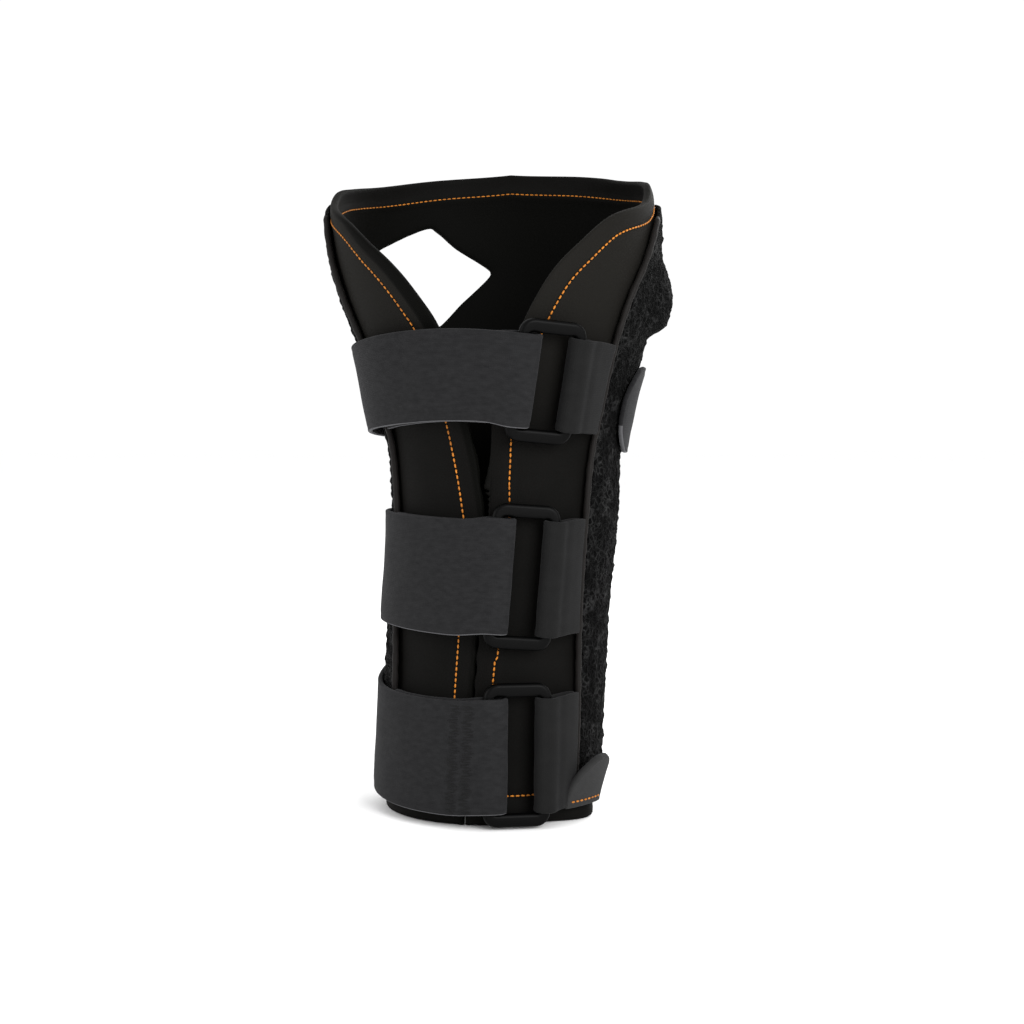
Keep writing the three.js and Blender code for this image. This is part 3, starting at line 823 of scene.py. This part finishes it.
# A tube: flat cloth rolled round a line, welded along its seam and closed at its ends
def makeTube(points, radiusAt, sides):
    frames = []
    lastUp = None
    for k, point in enumerate(points):
        ahead = (points[min(k + 1, len(points) - 1)] - points[max(k - 1, 0)]).normalized()
        guide = lastUp or (Vector((0, 0, 1)) if abs(ahead.z) < 0.9 else Vector((1, 0, 0)))
        side = guide.cross(ahead).normalized()
        lastUp = ahead.cross(side).normalized()
        frames.append((point, side, lastUp))
    bm = flatCloth(sides, len(points) - 1)
    for v in bm.verts:
        share, turn = v.co.y, 2 * math.pi * v.co.x
        point, side, up = frames[round(share * (len(points) - 1))]
        v.co = point + (side * math.cos(turn) + up * math.sin(turn)) * radiusAt(share) * mm
    bmesh.ops.remove_doubles(bm, verts=bm.verts[:], dist=0.00001)
    ends = [e for e in bm.edges if e.is_boundary]
    bmesh.ops.holes_fill(bm, edges=ends, sides=sides + 2)
    bmesh.ops.recalc_face_normals(bm, faces=bm.faces[:])
    return bm


def makePiping(seamAt, side):
    points = []
    top = topEdgeAt(80) - panel["rimBand"] + piping["leftTop" if side < 0 else "rightTop"]
    out = form["hemRoll"] + form["panelGap"] + form["piping"] / 2
    for step in range(piping["steps"] + 1):
        height = lerp(piping["foot"], top, step / piping["steps"])
        spot = wallPoint(side * seamAt(height / form["sideHeight"]), height, out)
        points.append(spot + noise.noise_vector(spot * 160) * piping["wander"] * mm)
    return makeTube(
        points,
        lambda share: piping["radius"] * (1 + piping["twist"] * math.sin(share * 190))
        * min(1, 0.35 + 90 * min(share, 1 - share)) ** 0.5,
        piping["sides"],
    )


pipingCloth = {
    # Folded tricot binding over a cord: the face cloth, a touch shinier where it is stretched, and
    # painted lighter than the face cloth as a painted highlight on the cord
    "dark": "#110f0e", "light": "#191716", "mottleSize": 5.0, "stretch": 1.0,
    "fuzzSize": 0.9, "fuzzDepth": 0.6,
    "ribPitch": 0.6, "pickPitch": 0.6, "threadShade": 0.15, "bump": 0.15, "roughness": 0.55,
    "specular": 0.09, "sheen": 0.015, "sheenTint": "#c8c4be",
}


# The binding's cloth runs up the brace, so its place on the cloth is its place in space
def markPlace(bm):
    layer = bm.verts.layers.float_vector.new("clothPlace")
    for v in bm.verts:
        v[layer] = (v.co.x / mm, v.co.z / mm, 0)


pipingMaterial = clothMaterial("foldedTricotBinding", pipingCloth)[0]
for side, seamAt, name in ((-1, leftSeamAt, "left_piping"), (1, rightSeamAt, "right_piping")):
    bm = makePiping(seamAt, side)
    markPlace(bm)
    finishPiece(name + "_binding", bm, pipingMaterial, [name])

# Straps, their rings and the rings' loops
print("rings, straps and loops")
strapForm = {
    "width": 35.5,
    "handWidth": 28.5,
    "thickness": 1.5,
    "slack": 1.8,  # left round the ring's bar
    "belly": 3,  # how far the hand strap's lower edge stands off the wrap's left
    "segments": 26,  # across the width
    "rounding": 0.4,
    "wave": 0.22,  # height of the slight waves in its face
    "edgeCord": 0.18,  # how far the woven edges stand proud
    "endLength": 0.46,  # of the rounded end, as a share of the width
    "endTurn": 78,
    "endSteps": 16,
    "stepAngle": 13,  # between the points of its line
    "settle": 1.6,  # above 1 it comes down from the ring sooner
    "loopCrease": 0.35,  # of the fold in the doubled loop
}
ring = {
    "width": 21, "bar": 3.2, "thickness": 3, "end": 4.2, "corner": 4.5, "clearance": 0.3,
    "floor": 0.8, "slotCorner": 1.2, "rounding": 1.15,
}
straps = {
    "hand": {"width": strapForm["handWidth"], "up": 0.693, "ringAngle": 26, "tail": -288, "meet": 1},
    "wrist": {"width": strapForm["width"], "up": 0.394, "ringAngle": 18.5, "tail": -205, "meet": 0.8},
    "arm": {"width": strapForm["width"], "up": None, "ringAngle": 21, "tail": -180, "meet": 0.8},
}
# Where each strap's middle lies at an angle, as a share of the room between the lower straps
courses = {
    "hand": smoothTable([(-300, -0.42), (-180, -0.32), (-115, -0.16), (-85, -0.08), (-60, 0),
                         (-10, 0.11), (26, 0), (60, -0.12)]),
    "wrist": smoothTable([(-300, 0.05), (-180, 0.05), (-115, 0.08), (-85, 0.08), (-60, 0.06),
                          (-10, 0), (26, 0), (60, -0.02)]),
    "arm": smoothTable([(-300, 0.4), (-180, 0.4), (-115, 0.34), (-85, 0.1), (-60, 0),
                        (-10, -0.05), (26, 0), (60, 0.02)]),
}
ringLift = strapForm["thickness"] + form["hemRoll"] + form["layerGap"]
bend = ring["thickness"] / 2 + ring["clearance"] + strapForm["thickness"] / 2  # round the bar
openingHalf = ring["width"] / 2 - ring["bar"]


def ringHeightOf(width):
    return width + 2 * ring["clearance"] + 2 * ring["end"]


# The lowest ring clears the floor, and its strap lies level with it
def heightOf(strap):
    if strap["up"] is None:
        return ring["floor"] + ringHeightOf(strap["width"]) / 2
    return strap["up"] * form["sideHeight"]


strapRoom = heightOf(straps["wrist"]) - heightOf(straps["arm"]) - strapForm["width"]


# The height of a strap's middle by the angle
def courseOf(name):
    strap = straps[name]
    rise = courses[name]
    return lambda angle: heightOf(strap) + strapRoom * (rise(angle) - rise(strap["ringAngle"]))


# A point on a strap, so far above its middle and so far off the wrap's face
def strapPoint(course, angle, offset, out):
    middle = course(angle)
    lean = (halfWidthAt(middle + 1) - halfWidthAt(middle - 1)) / 2
    return wallPoint(angle, middle + offset / math.hypot(1, lean), out)


# A ring's axes, tilted as its strap's course runs there
def ringFrame(name):
    strap = straps[name]
    course = courseOf(name)
    rise = course(strap["ringAngle"] + 4) - course(strap["ringAngle"] - 4)
    run = halfWidthAt(heightOf(strap)) * math.pi * 8 / 180
    return wallFrame(
        strap["ringAngle"], heightOf(strap), ringLift + ring["thickness"] / 2, math.atan(rise / run)
    )


# Two rounded outlines are bridged, thickened and their edges rounded
def makeRing(name):
    width = straps[name]["width"]
    outlines = (
        (ring["width"] / 2, ringHeightOf(width) / 2, ring["corner"]),
        (openingHalf, width / 2 + ring["clearance"], ring["slotCorner"]),
    )
    bm = bmesh.new()
    for halfX, halfY, corner in outlines:
        flat = bmesh.ops.create_grid(bm, x_segments=1, y_segments=1, size=1)["verts"]
        bmesh.ops.scale(bm, verts=flat, vec=(halfX, halfY, 1))
        bmesh.ops.bevel(
            bm, geom=flat, offset=corner, offset_type="OFFSET", segments=10, profile=0.5,
            affect="VERTICES", material=-1,
        )
    bmesh.ops.delete(bm, geom=bm.faces[:], context="FACES_ONLY")
    bmesh.ops.bridge_loops(bm, edges=bm.edges[:])
    bmesh.ops.recalc_face_normals(bm, faces=bm.faces)
    up = math.copysign(ring["thickness"] / 2, bm.faces[:][0].normal.z)
    bmesh.ops.translate(bm, verts=bm.verts, vec=(0, 0, up))
    bmesh.ops.solidify(bm, geom=bm.faces[:], thickness=ring["thickness"])
    bm.normal_update()
    sharp = [e for e in bm.edges if e.is_manifold and e.calc_face_angle(0) > 1.2]
    bmesh.ops.bevel(
        bm, geom=sharp, offset=ring["rounding"], offset_type="OFFSET", segments=6, profile=0.5,
        affect="EDGES", material=-1, clamp_overlap=True,
    )
    bmesh.ops.transform(bm, matrix=Matrix.Scale(mm, 4), verts=bm.verts)
    bmesh.ops.transform(bm, matrix=ringFrame(name), verts=bm.verts)
    return bm


ringPlastic = {
    # Injection-moulded acetal: black, satin, softly highlighted on its rounded edges
    "colour": "#020202", "roughness": 0.42, "grain": 0.45, "specular": 0.06,
}


def ringMaterial():
    material, tree, output = newMaterial("mouldedAcetal")
    place = addNode(tree, "TexCoord")
    grain = addNode(
        tree, "TexNoise", {}, {"Scale": 1 / (ringPlastic["grain"] * mm), "Detail": 3.0},
        {"Vector": (place, "Object")},
    )
    bump = addNode(
        tree, "Bump", {}, {"Strength": 0.12, "Distance": 0.1 * mm}, {"Height": (grain, "Fac")}
    )
    shader = addNode(
        tree, "BsdfPrincipled", {},
        {"Base Color": hexColour(ringPlastic["colour"]), "Roughness": ringPlastic["roughness"],
         "IOR": 1.48, "Specular IOR Level": ringPlastic["specular"]},
        {"Normal": (bump, "Normal")},
    )
    tree.links.new(shader.outputs[0], output.inputs[0])
    return material


# The turn of a band round a ring's bar, in the ring's own axes
def turnPoints(place, side, slack, offset):
    spots = [(side * (openingHalf + ring["bar"]), -bend)]
    for degrees in range(-90, 91, 30):
        turn = math.radians(degrees)
        spots.append((side * (openingHalf - slack - bend * math.cos(turn)), bend * math.sin(turn)))
    spots.append((side * (openingHalf + ring["bar"]), bend))
    return [place @ (Vector((across, offset, out)) * mm) for across, out in spots]


# A smooth line through points, with so many steps from each to the next
def smoothLine(points, steps):
    knots = [0.0]
    for a, b in zip(points, points[1:]):
        knots.append(knots[-1] + (b - a).length ** 0.5)
    padded = [2 * points[0] - points[1], *points, 2 * points[-1] - points[-2]]
    gaps = [knots[1] - knots[0], *[b - a for a, b in zip(knots, knots[1:])], knots[-1] - knots[-2]]
    line = []
    for k in range(len(points) - 1):
        a, b, c, d = padded[k:k + 4]
        before, here, after = gaps[k:k + 3]
        leave = ((b - a) / before - (c - a) / (before + here) + (c - b) / here) * here
        arrive = ((c - b) / here - (d - b) / (here + after) + (d - c) / after) * here
        line += [easedBetween(b, c, leave, arrive, step / steps) for step in range(steps)]
    line.append(points[-1])
    return line


# The hand strap stands off at the left, more towards its lower edge
def bellyAt(name, angle, offset):
    side = max(0, 1 - abs(angle + 75) / 70)
    share = 0.5 - offset / straps[name]["width"]
    return strapForm["belly"] * easeIn(side) * share if name == "hand" else 0


# From the left seam under the strap to the ring, round its bar and back round the wrap
def strapLine(name, offset):
    strap = straps[name]
    course, place, height = courseOf(name), ringFrame(name), heightOf(strap)
    under = form["hemRoll"] + form["layerGap"] + strapForm["thickness"] / 2
    over = coverDepth + form["layerGap"] + strapForm["thickness"] / 2
    ringLeft = strap["ringAngle"] - degreesOf(ring["width"] / 2 + 6, height)
    room = degreesOf(form["piping"] / 2 + form["layerGap"], height) + 1
    seam = -leftSeamAt((height + offset) / form["sideHeight"])
    overRing = ringLift + ring["thickness"] / 2 + bend + 0.6
    meet = lerp(ringLeft, -leftSeamAt(height / form["sideHeight"]) - 12, strap["meet"])
    points = [
        strapPoint(course, lerp(seam + room, ringLeft, step / 4), offset, under) for step in range(5)
    ]
    points += turnPoints(place, -1, strapForm["slack"] - ring["thickness"] / 4, offset)
    angle = ringLeft
    while angle > strap["tail"]:
        share = min(max((angle - meet) / (ringLeft - meet), 0), 1)
        out = lerp(over, overRing, 0.75 * share ** strapForm["settle"])
        points.append(strapPoint(course, angle, offset, out + bellyAt(name, angle, offset)))
        angle -= strapForm["stepAngle"]
    points.append(strapPoint(course, strap["tail"], offset, over))
    return points


# From the right seam to the ring, round its other bar and back over itself
def loopLine(name, offset):
    strap = straps[name]
    course, place, height = courseOf(name), ringFrame(name), heightOf(strap)
    under = form["hemRoll"] + form["layerGap"] + strapForm["thickness"] / 2
    over = under + strapForm["thickness"] + ring["clearance"]
    room = degreesOf(form["piping"] / 2 + form["layerGap"], height) + 2
    seam = rightSeamAt((height + offset) / form["sideHeight"]) - room
    ringRight = strap["ringAngle"] + degreesOf(ring["width"] / 2 + 1.5, height)
    middle = (ringRight + seam) / 2
    return [
        strapPoint(course, seam, offset, under),
        strapPoint(course, middle, offset, under),
        *turnPoints(place, 1, -ring["thickness"] / 2, offset),
        strapPoint(course, middle, offset, over + 1.2),
        strapPoint(course, seam, offset, over),
    ]


# A band of elastic laid along lines worked out across its width
def makeBand(name, lineAt, steps, roundEnd, crease=0.0):
    width = straps[name]["width"]
    rows = [smoothLine(lineAt(name, share * width), steps) for share in (-0.5, -0.25, 0, 0.25, 0.5)]
    count = len(rows[0])
    lengths = [0.0]
    for a, b in zip(rows[2], rows[2][1:]):
        lengths.append(lengths[-1] + (b - a).length / mm)
    total = lengths[-1]
    endLength = strapForm["endLength"] * width if roundEnd else 0
    body = bisect.bisect_left(lengths, total - endLength - 0.01)
    stops = [(k, 1.0) for k in range(body)]  # a place along the line, and the width's share there
    for step in range(strapForm["endSteps"] + 1 if roundEnd else 1):
        turn = step / strapForm["endSteps"] * math.radians(strapForm["endTurn"])
        run = total - endLength * (1 - math.sin(turn)) if roundEnd else total
        k = min(max(bisect.bisect_right(lengths, run) - 1, 0), count - 2)
        stops.append((k + (run - lengths[k]) / (lengths[k + 1] - lengths[k]), math.cos(turn)))
    bm = flatCloth(len(stops) - 1, strapForm["segments"])
    place = bm.verts.layers.float_vector.new("clothPlace")
    for v in bm.verts:
        stop, wide = stops[round(v.co.x * (len(stops) - 1))]
        k = min(int(stop), count - 2)
        share = 0.5 + (v.co.y - 0.5) * wide * (1 - 2 * strapForm["rounding"] / width)
        low = min(int(share * 4), 3)
        here = rows[low][k].lerp(rows[low + 1][k], share * 4 - low)
        ahead = rows[low][k + 1].lerp(rows[low + 1][k + 1], share * 4 - low)
        v.co = here.lerp(ahead, stop - k)
        v[place] = (lerp(lengths[k], lengths[k + 1], stop - k), (share - 0.5) * width, 0)
    bm.normal_update()
    for v in bm.verts:
        along, across = v[place][0], v[place][1]
        fromEdge = width / 2 - abs(across)
        wave = noise.noise(Vector((along * 0.09, across * 0.11, 7.0))) * strapForm["wave"]
        cord = strapForm["edgeCord"] * math.exp(-(((fromEdge - 1.1) / 0.7) ** 2))
        fold = crease * math.exp(-(((along - total * 0.72) / 1.2) ** 2))
        v.co += v.normal * (wave * easeIn(fromEdge / 3) + cord - fold) * mm
    bm.normal_update()
    area = flatArea(bm)
    for v in bm.verts:
        v.co += v.normal * strapForm["thickness"] / 2 * mm
    thicken(bm, strapForm["thickness"], strapForm["rounding"])
    return bm, area


strapElastic = {
    # Woven polyester and rubber elastic: dark grey, finely ribbed along its length, slightly mottled
    "dark": "#0f0f10", "light": "#242425", "mottleSize": 1.3, "stretch": 0.45,
    # the paler lower-edge colour is painted light
    "fuzzSize": 0.6, "fuzzDepth": 1.6, "paintedLowerEdgeLight": "#565658", "paintedLightBelow": -5.0,
    "ribPitch": 0.55, "pickPitch": 0.5, "threadShade": 0.15, "bump": 0.25, "roughness": 0.8,
    "specular": 0.08, "sheen": 0.045, "sheenTint": "#d8d8dc",
}
loopElastic = dict(strapElastic, dark="#101010", light="#181818", mottleSize=5.0)
# painted light: the tab's elastic is the strap's, painted lighter for the light from the right
paintedLitTabElastic = dict(strapElastic, dark="#222222", light="#2f2f2f", mottleSize=4.0)


# Painted light: the strap's lower edge is painted paler, for the light bounced up from the floor
def strapElasticMaterial():
    material, tree, shader, colour = clothMaterial("wovenStrapElastic", strapElastic)
    place = addNode(tree, "Attribute", {"attribute_name": "clothPlace"})
    parts = addNode(tree, "SeparateXYZ", {}, {}, {0: (place, "Vector")})
    middle = addNode(tree, "Math", {"operation": "SUBTRACT"}, {1: 0.5}, {0: (parts, "Z")})
    away = addNode(tree, "Math", {"operation": "ABSOLUTE"}, {}, {0: (middle, 0)})
    side = addNode(
        tree, "MapRange", {}, {"From Min": 0.5, "From Max": 0.42, "To Max": 0.8},
        {"Value": (away, 0)},
    )
    low = addNode(
        tree, "Math", {"operation": "LESS_THAN"}, {1: strapElastic["paintedLightBelow"]},
        {0: (parts, "Y")},
    )
    edgeLightMask = addNode(tree, "Math", {"operation": "MULTIPLY"}, {}, {0: (side, 0), 1: (low, 0)})
    paintedEdgeLight = addNode(
        tree, "MixRGB", {}, {"Color2": hexColour(strapElastic["paintedLowerEdgeLight"])},
        {"Fac": (edgeLightMask, 0), "Color1": (colour, "Color")},
    )
    tree.links.new(paintedEdgeLight.outputs["Color"], shader.inputs["Base Color"])
    return material


strapMaterial = strapElasticMaterial()
loopMaterial = clothMaterial("wovenLoopElastic", loopElastic)[0]
acetal = ringMaterial()
for name, strap in straps.items():
    bm, area = makeBand(name, strapLine, 6, True)
    piece = finishPiece(name + "_elastic_strap", bm, strapMaterial, [name + "_strap"])
    bm, area = makeBand(name, loopLine, 8, False, strapForm["loopCrease"])
    piece = finishPiece(name + "_elastic_loop", bm, loopMaterial, [name + "_ring_loop"])
    finishPiece(name + "_slot_ring", makeRing(name), acetal, [name + "_ring"])

# Pull tab
print("pull tab")
tab = {
    "width": 15, "height": 14.6, "thickness": 2.4, "rounding": 0.7,
    "angle": 61.2, "seat": 5.5, "lean": 3.4, "twist": 0.5,
    "cornerFrom": 0.15, "cornerCut": 0.86, "columns": 30, "rows": 30,
}


# Its top is drawn in towards the far side
def tabPlace(u, share, lift=0.0):
    rise = max(0, (share - tab["cornerFrom"]) / (1 - tab["cornerFrom"]))
    wide = math.sqrt(1 - rise**2 * tab["cornerCut"])
    side = 1 - (2 - 2 * u) * wide
    side -= 0.35 * max(0, (share - 0.8) / 0.2) ** 2 * u
    lean = (tab["lean"] - tab["twist"] * side) * share**1.3
    seat = coverDepth + ring["clearance"] + tab["thickness"] / 2 + 0.4
    half = degreesOf(tab["width"] / 2, tab["seat"])
    return wallPoint(tab["angle"] + side * half, tab["seat"] + share * tab["height"], seat + lean + lift)


def makeTab():
    bm = flatCloth(tab["columns"], tab["rows"])
    place = bm.verts.layers.float_vector.new("clothPlace")
    for v in bm.verts:
        u, share = v.co.x, v.co.y
        v.co = tabPlace(u, share)
        v[place] = (u * tab["width"], share * tab["height"], 0)
    bm.normal_update()
    for v in bm.verts:
        v.co += v.normal * tab["thickness"] / 2 * mm
    thicken(bm, tab["thickness"], tab["rounding"])
    return bm


tabMaterial = clothMaterial("wovenTabElastic", paintedLitTabElastic)[0]
finishPiece("folded_pull_tab", makeTab(), tabMaterial, ["pull_tab"])

# Stitching
print("stitching")
stitch = {
    "pitch": 1.75, "length": 1.4, "radius": 0.32, "innerRadius": 0.23, "flatness": 0.85, "sink": 0.12,
    "segments": 6, "rings": 5, "tabCount": 8, "tabRow": 0.1, "tabLength": 1.35,
    "tabLift": 0.12,
}
zigzag = {"pitch": 0.85, "width": 7.6, "radius": 0.22, "angle": -4.6, "margin": 0.8, "tilt": 0.16}


# One short thread with rounded ends, lying on the cloth
def addStitch(bm, spot, along, outward, length, radius):
    made = bmesh.ops.create_uvsphere(
        bm, u_segments=stitch["segments"], v_segments=stitch["rings"], radius=1.0
    )
    side = outward.cross(along).normalized()
    axes = Matrix((side, outward, along)).transposed().to_4x4()
    size = Matrix.Diagonal((radius * mm, radius * stitch["flatness"] * mm, length / 2 * mm, 1))
    bmesh.ops.transform(bm, matrix=Matrix.Translation(spot) @ axes @ size, verts=made["verts"])


threadColours = {
    # Waxed polyester thread, orange: bright where the light strikes each twist
    "dark": "#6e3c0c", "light": "#c47a24", "roughness": 0.5, "toneSize": 2.5,
}
darkThreadColours = {
    # The same thread in black: a shade darker and duller than the elastic round it
    "dark": "#020202", "light": "#080808", "roughness": 0.7, "toneSize": 2.5,
}


def threadMaterial(name, look):
    material, tree, output = newMaterial(name)
    place = addNode(tree, "TexCoord")
    tone = addNode(
        tree, "TexNoise", {}, {"Scale": 1 / (look["toneSize"] * mm), "Detail": 1.0},
        {"Vector": (place, "Object")},
    )
    colour = addNode(
        tree, "MixRGB", {}, {"Color1": hexColour(look["dark"]), "Color2": hexColour(look["light"])},
        {"Fac": (tone, "Fac")},
    )
    shader = addNode(
        tree, "BsdfPrincipled", {}, {"Roughness": look["roughness"], "Specular IOR Level": 0.2},
        {"Base Color": (colour, "Color")},
    )
    tree.links.new(shader.outputs[0], output.inputs[0])
    return material


def pieceTree(name):
    mesh = bpy.data.objects[name].data
    return BVHTree.FromPolygons(
        [v.co for v in mesh.vertices], [list(p.vertices) for p in mesh.polygons]
    )


# Sews one stitch where a ray from outside, or from inside, meets the wrap
def sewOnWrap(bm, skin, spot, along, inner=False):
    outward = (spot - axisAt(spot.z)).normalized() * (-1 if inner else 1)
    hit, normal, face, gap = skin.ray_cast(spot + outward * 0.004, -outward, 0.008)
    if hit is None or normal.dot(outward) < 0.2:
        return
    along = (along - normal * along.dot(normal)).normalized()
    radius = stitch["innerRadius"] if inner else stitch["radius"]
    spot = hit + normal * (radius * 0.7 - stitch["sink"]) * mm
    addStitch(bm, spot, along, normal, stitch["length"], radius)


# The hem is stitched through, so its stitches show outside and inside, and the cuff's outside
def hemStitches():
    bm = bmesh.new()
    skin = pieceTree("padded_wrap")
    runs = [[]]
    for before, after in zip(stitchPlaces, stitchPlaces[1:]):
        runs[-1].append(before)
        if abs(after[0] - before[0]) > 12 or abs(after[1] - before[1]) > 9:
            runs.append([])
    for run in runs:
        if len(run) < 4:
            continue
        for inner in (False, True):
            line = [wallPoint(a, h, -form["wall"] if inner else 0.0) for a, h in run]
            for spot, along in evenSteps(line, stitch["pitch"]):
                sewOnWrap(bm, skin, spot, along, inner)
    cuff = [wallPoint(a, h) for a, h in cuffPlaces]
    for spot, along in evenSteps(cuff, stitch["pitch"]):
        sewOnWrap(bm, skin, spot, along)
    return bm


# A row of orange stitches across the foot of the pull tab
def tabStitches():
    bm = bmesh.new()
    lift = tab["thickness"] / 2 + stitch["tabLift"]
    for k in range(stitch["tabCount"]):
        u = 0.06 + 0.88 * (k + 0.5) / stitch["tabCount"]
        spot = tabPlace(u, stitch["tabRow"], lift)
        ahead = tabPlace(u + 0.05, stitch["tabRow"], lift) - spot
        outward = ahead.cross(Vector((0, 0, 1))).normalized()
        addStitch(bm, spot, ahead.normalized(), outward, stitch["tabLength"], stitch["radius"])
    return bm


# Zigzag of dark thread up the arm strap, nearly level, in two runs side by side
def strapZigzag():
    bm = bmesh.new()
    course = courseOf("arm")
    width = straps["arm"]["width"]
    skin = pieceTree("arm_elastic_strap")
    for k in range(int((width - 1.5) / zigzag["pitch"])):
        offset = -width / 2 + zigzag["margin"] + k * zigzag["pitch"]
        for column in (-0.5, 0.5):
            arc = column * zigzag["width"] / 2 + 0.4 * math.sin(k * 0.9 + column)
            centre = zigzag["angle"] + degreesOf(arc, heightOf(straps["arm"]))
            probe = strapPoint(course, centre, offset, 12)
            ahead = strapPoint(course, centre + 2, offset + zigzag["tilt"] * (-1) ** k, 12) - probe
            inward = (axisAt(probe.z) - probe).normalized()
            hit, normal, face, gap = skin.ray_cast(probe, inward, 0.03)
            if hit is not None:
                along = (ahead - normal * ahead.dot(normal)).normalized()
                reach = zigzag["width"] / 2 * (0.92 + 0.12 * math.sin(k * 2.3 + 3 * column))
                addStitch(bm, hit + normal * 0.01 * mm, along, normal, reach, zigzag["radius"])
    return bm


orangeThread = threadMaterial("waxedOrangeThread", threadColours)
darkThread = threadMaterial("blackPolyesterThread", darkThreadColours)
finishPiece("hem_stitching", hemStitches(), orangeThread)
finishPiece("tab_stitching", tabStitches(), orangeThread)
finishPiece("strap_zigzag", strapZigzag(), darkThread)

# Stage, light and camera
print("stage, light and camera")
stage = {"floor": "#fbfbfb", "floorSize": 40, "world": "#ffffff", "worldStrength": 1.04}
lamps = {
    # where it stands and the height it aims at in metres, its size and its power
    "keyFrontRight": {"place": (0.75, -0.85, 0.55), "aim": 0.1, "size": 0.7, "power": 16},
    "fillLeft": {"place": (-1.0, -0.5, 0.4), "aim": 0.1, "size": 0.9, "power": 6},
    "rimBehind": {"place": (0.5, 0.9, 0.7), "aim": 0.12, "size": 0.6, "power": 6},
}
view = {
    # fitted to the photograph: distance and height in metres, angles in degrees
    "lens": 57.3, "sensor": 36, "shift": 0.0205, "distance": 0.53, "height": 0.119,
    "azimuth": 10, "pitch": 2.5,
}


def makeStage():
    bm = bmesh.new()
    bmesh.ops.create_grid(bm, x_segments=1, y_segments=1, size=stage["floorSize"] / 2)
    mesh = bpy.data.meshes.new("floor")
    bm.to_mesh(mesh)
    bm.free()
    floor = bpy.data.objects.new("floor", mesh)
    bpy.context.scene.collection.objects.link(floor)
    material, tree, output = newMaterial("pale_backdrop_paper")
    shader = addNode(
        tree, "BsdfPrincipled", {},
        {"Base Color": hexColour(stage["floor"]), "Roughness": 0.9, "Specular IOR Level": 0.1},
    )
    tree.links.new(shader.outputs[0], output.inputs[0])
    mesh.materials.append(material)


def makeLights():
    world = bpy.data.worlds.new("studio")
    world.use_nodes = True
    background = world.node_tree.nodes["Background"]
    background.inputs[0].default_value = hexColour(stage["world"])
    background.inputs[1].default_value = stage["worldStrength"]
    bpy.context.scene.world = world
    for name, lamp in lamps.items():
        light = bpy.data.lights.new(name, "AREA")
        light.shape = "SQUARE"
        light.size = lamp["size"]
        light.energy = lamp["power"]
        stand = bpy.data.objects.new(name, light)
        stand.location = lamp["place"]
        aim = Vector((0, 0, lamp["aim"])) - stand.location
        stand.rotation_euler = aim.to_track_quat("-Z", "Y").to_euler()
        bpy.context.scene.collection.objects.link(stand)


def makeCamera():
    lens = bpy.data.cameras.new("camera")
    lens.lens = view["lens"]
    lens.sensor_width = view["sensor"]
    lens.shift_x = view["shift"]
    camera = bpy.data.objects.new("camera", lens)
    azimuth, pitch = math.radians(view["azimuth"]), math.radians(view["pitch"])
    camera.location = (
        view["distance"] * math.sin(azimuth) + form["shift"][0] * mm,
        -view["distance"] * math.cos(azimuth) + form["shift"][1] * mm,
        view["height"],
    )
    ahead = Vector((-math.sin(azimuth), math.cos(azimuth), -math.tan(pitch)))
    camera.rotation_euler = ahead.to_track_quat("-Z", "Y").to_euler()
    bpy.context.scene.collection.objects.link(camera)
    bpy.context.scene.camera = camera


makeStage()
makeLights()
makeCamera()
scene = bpy.context.scene
scene.render.resolution_x = 1024
scene.render.resolution_y = 1024
scene.render.engine = "CYCLES"
scene.cycles.samples = 128
scene.cycles.use_denoising = True
scene.view_settings.view_transform = "Standard"
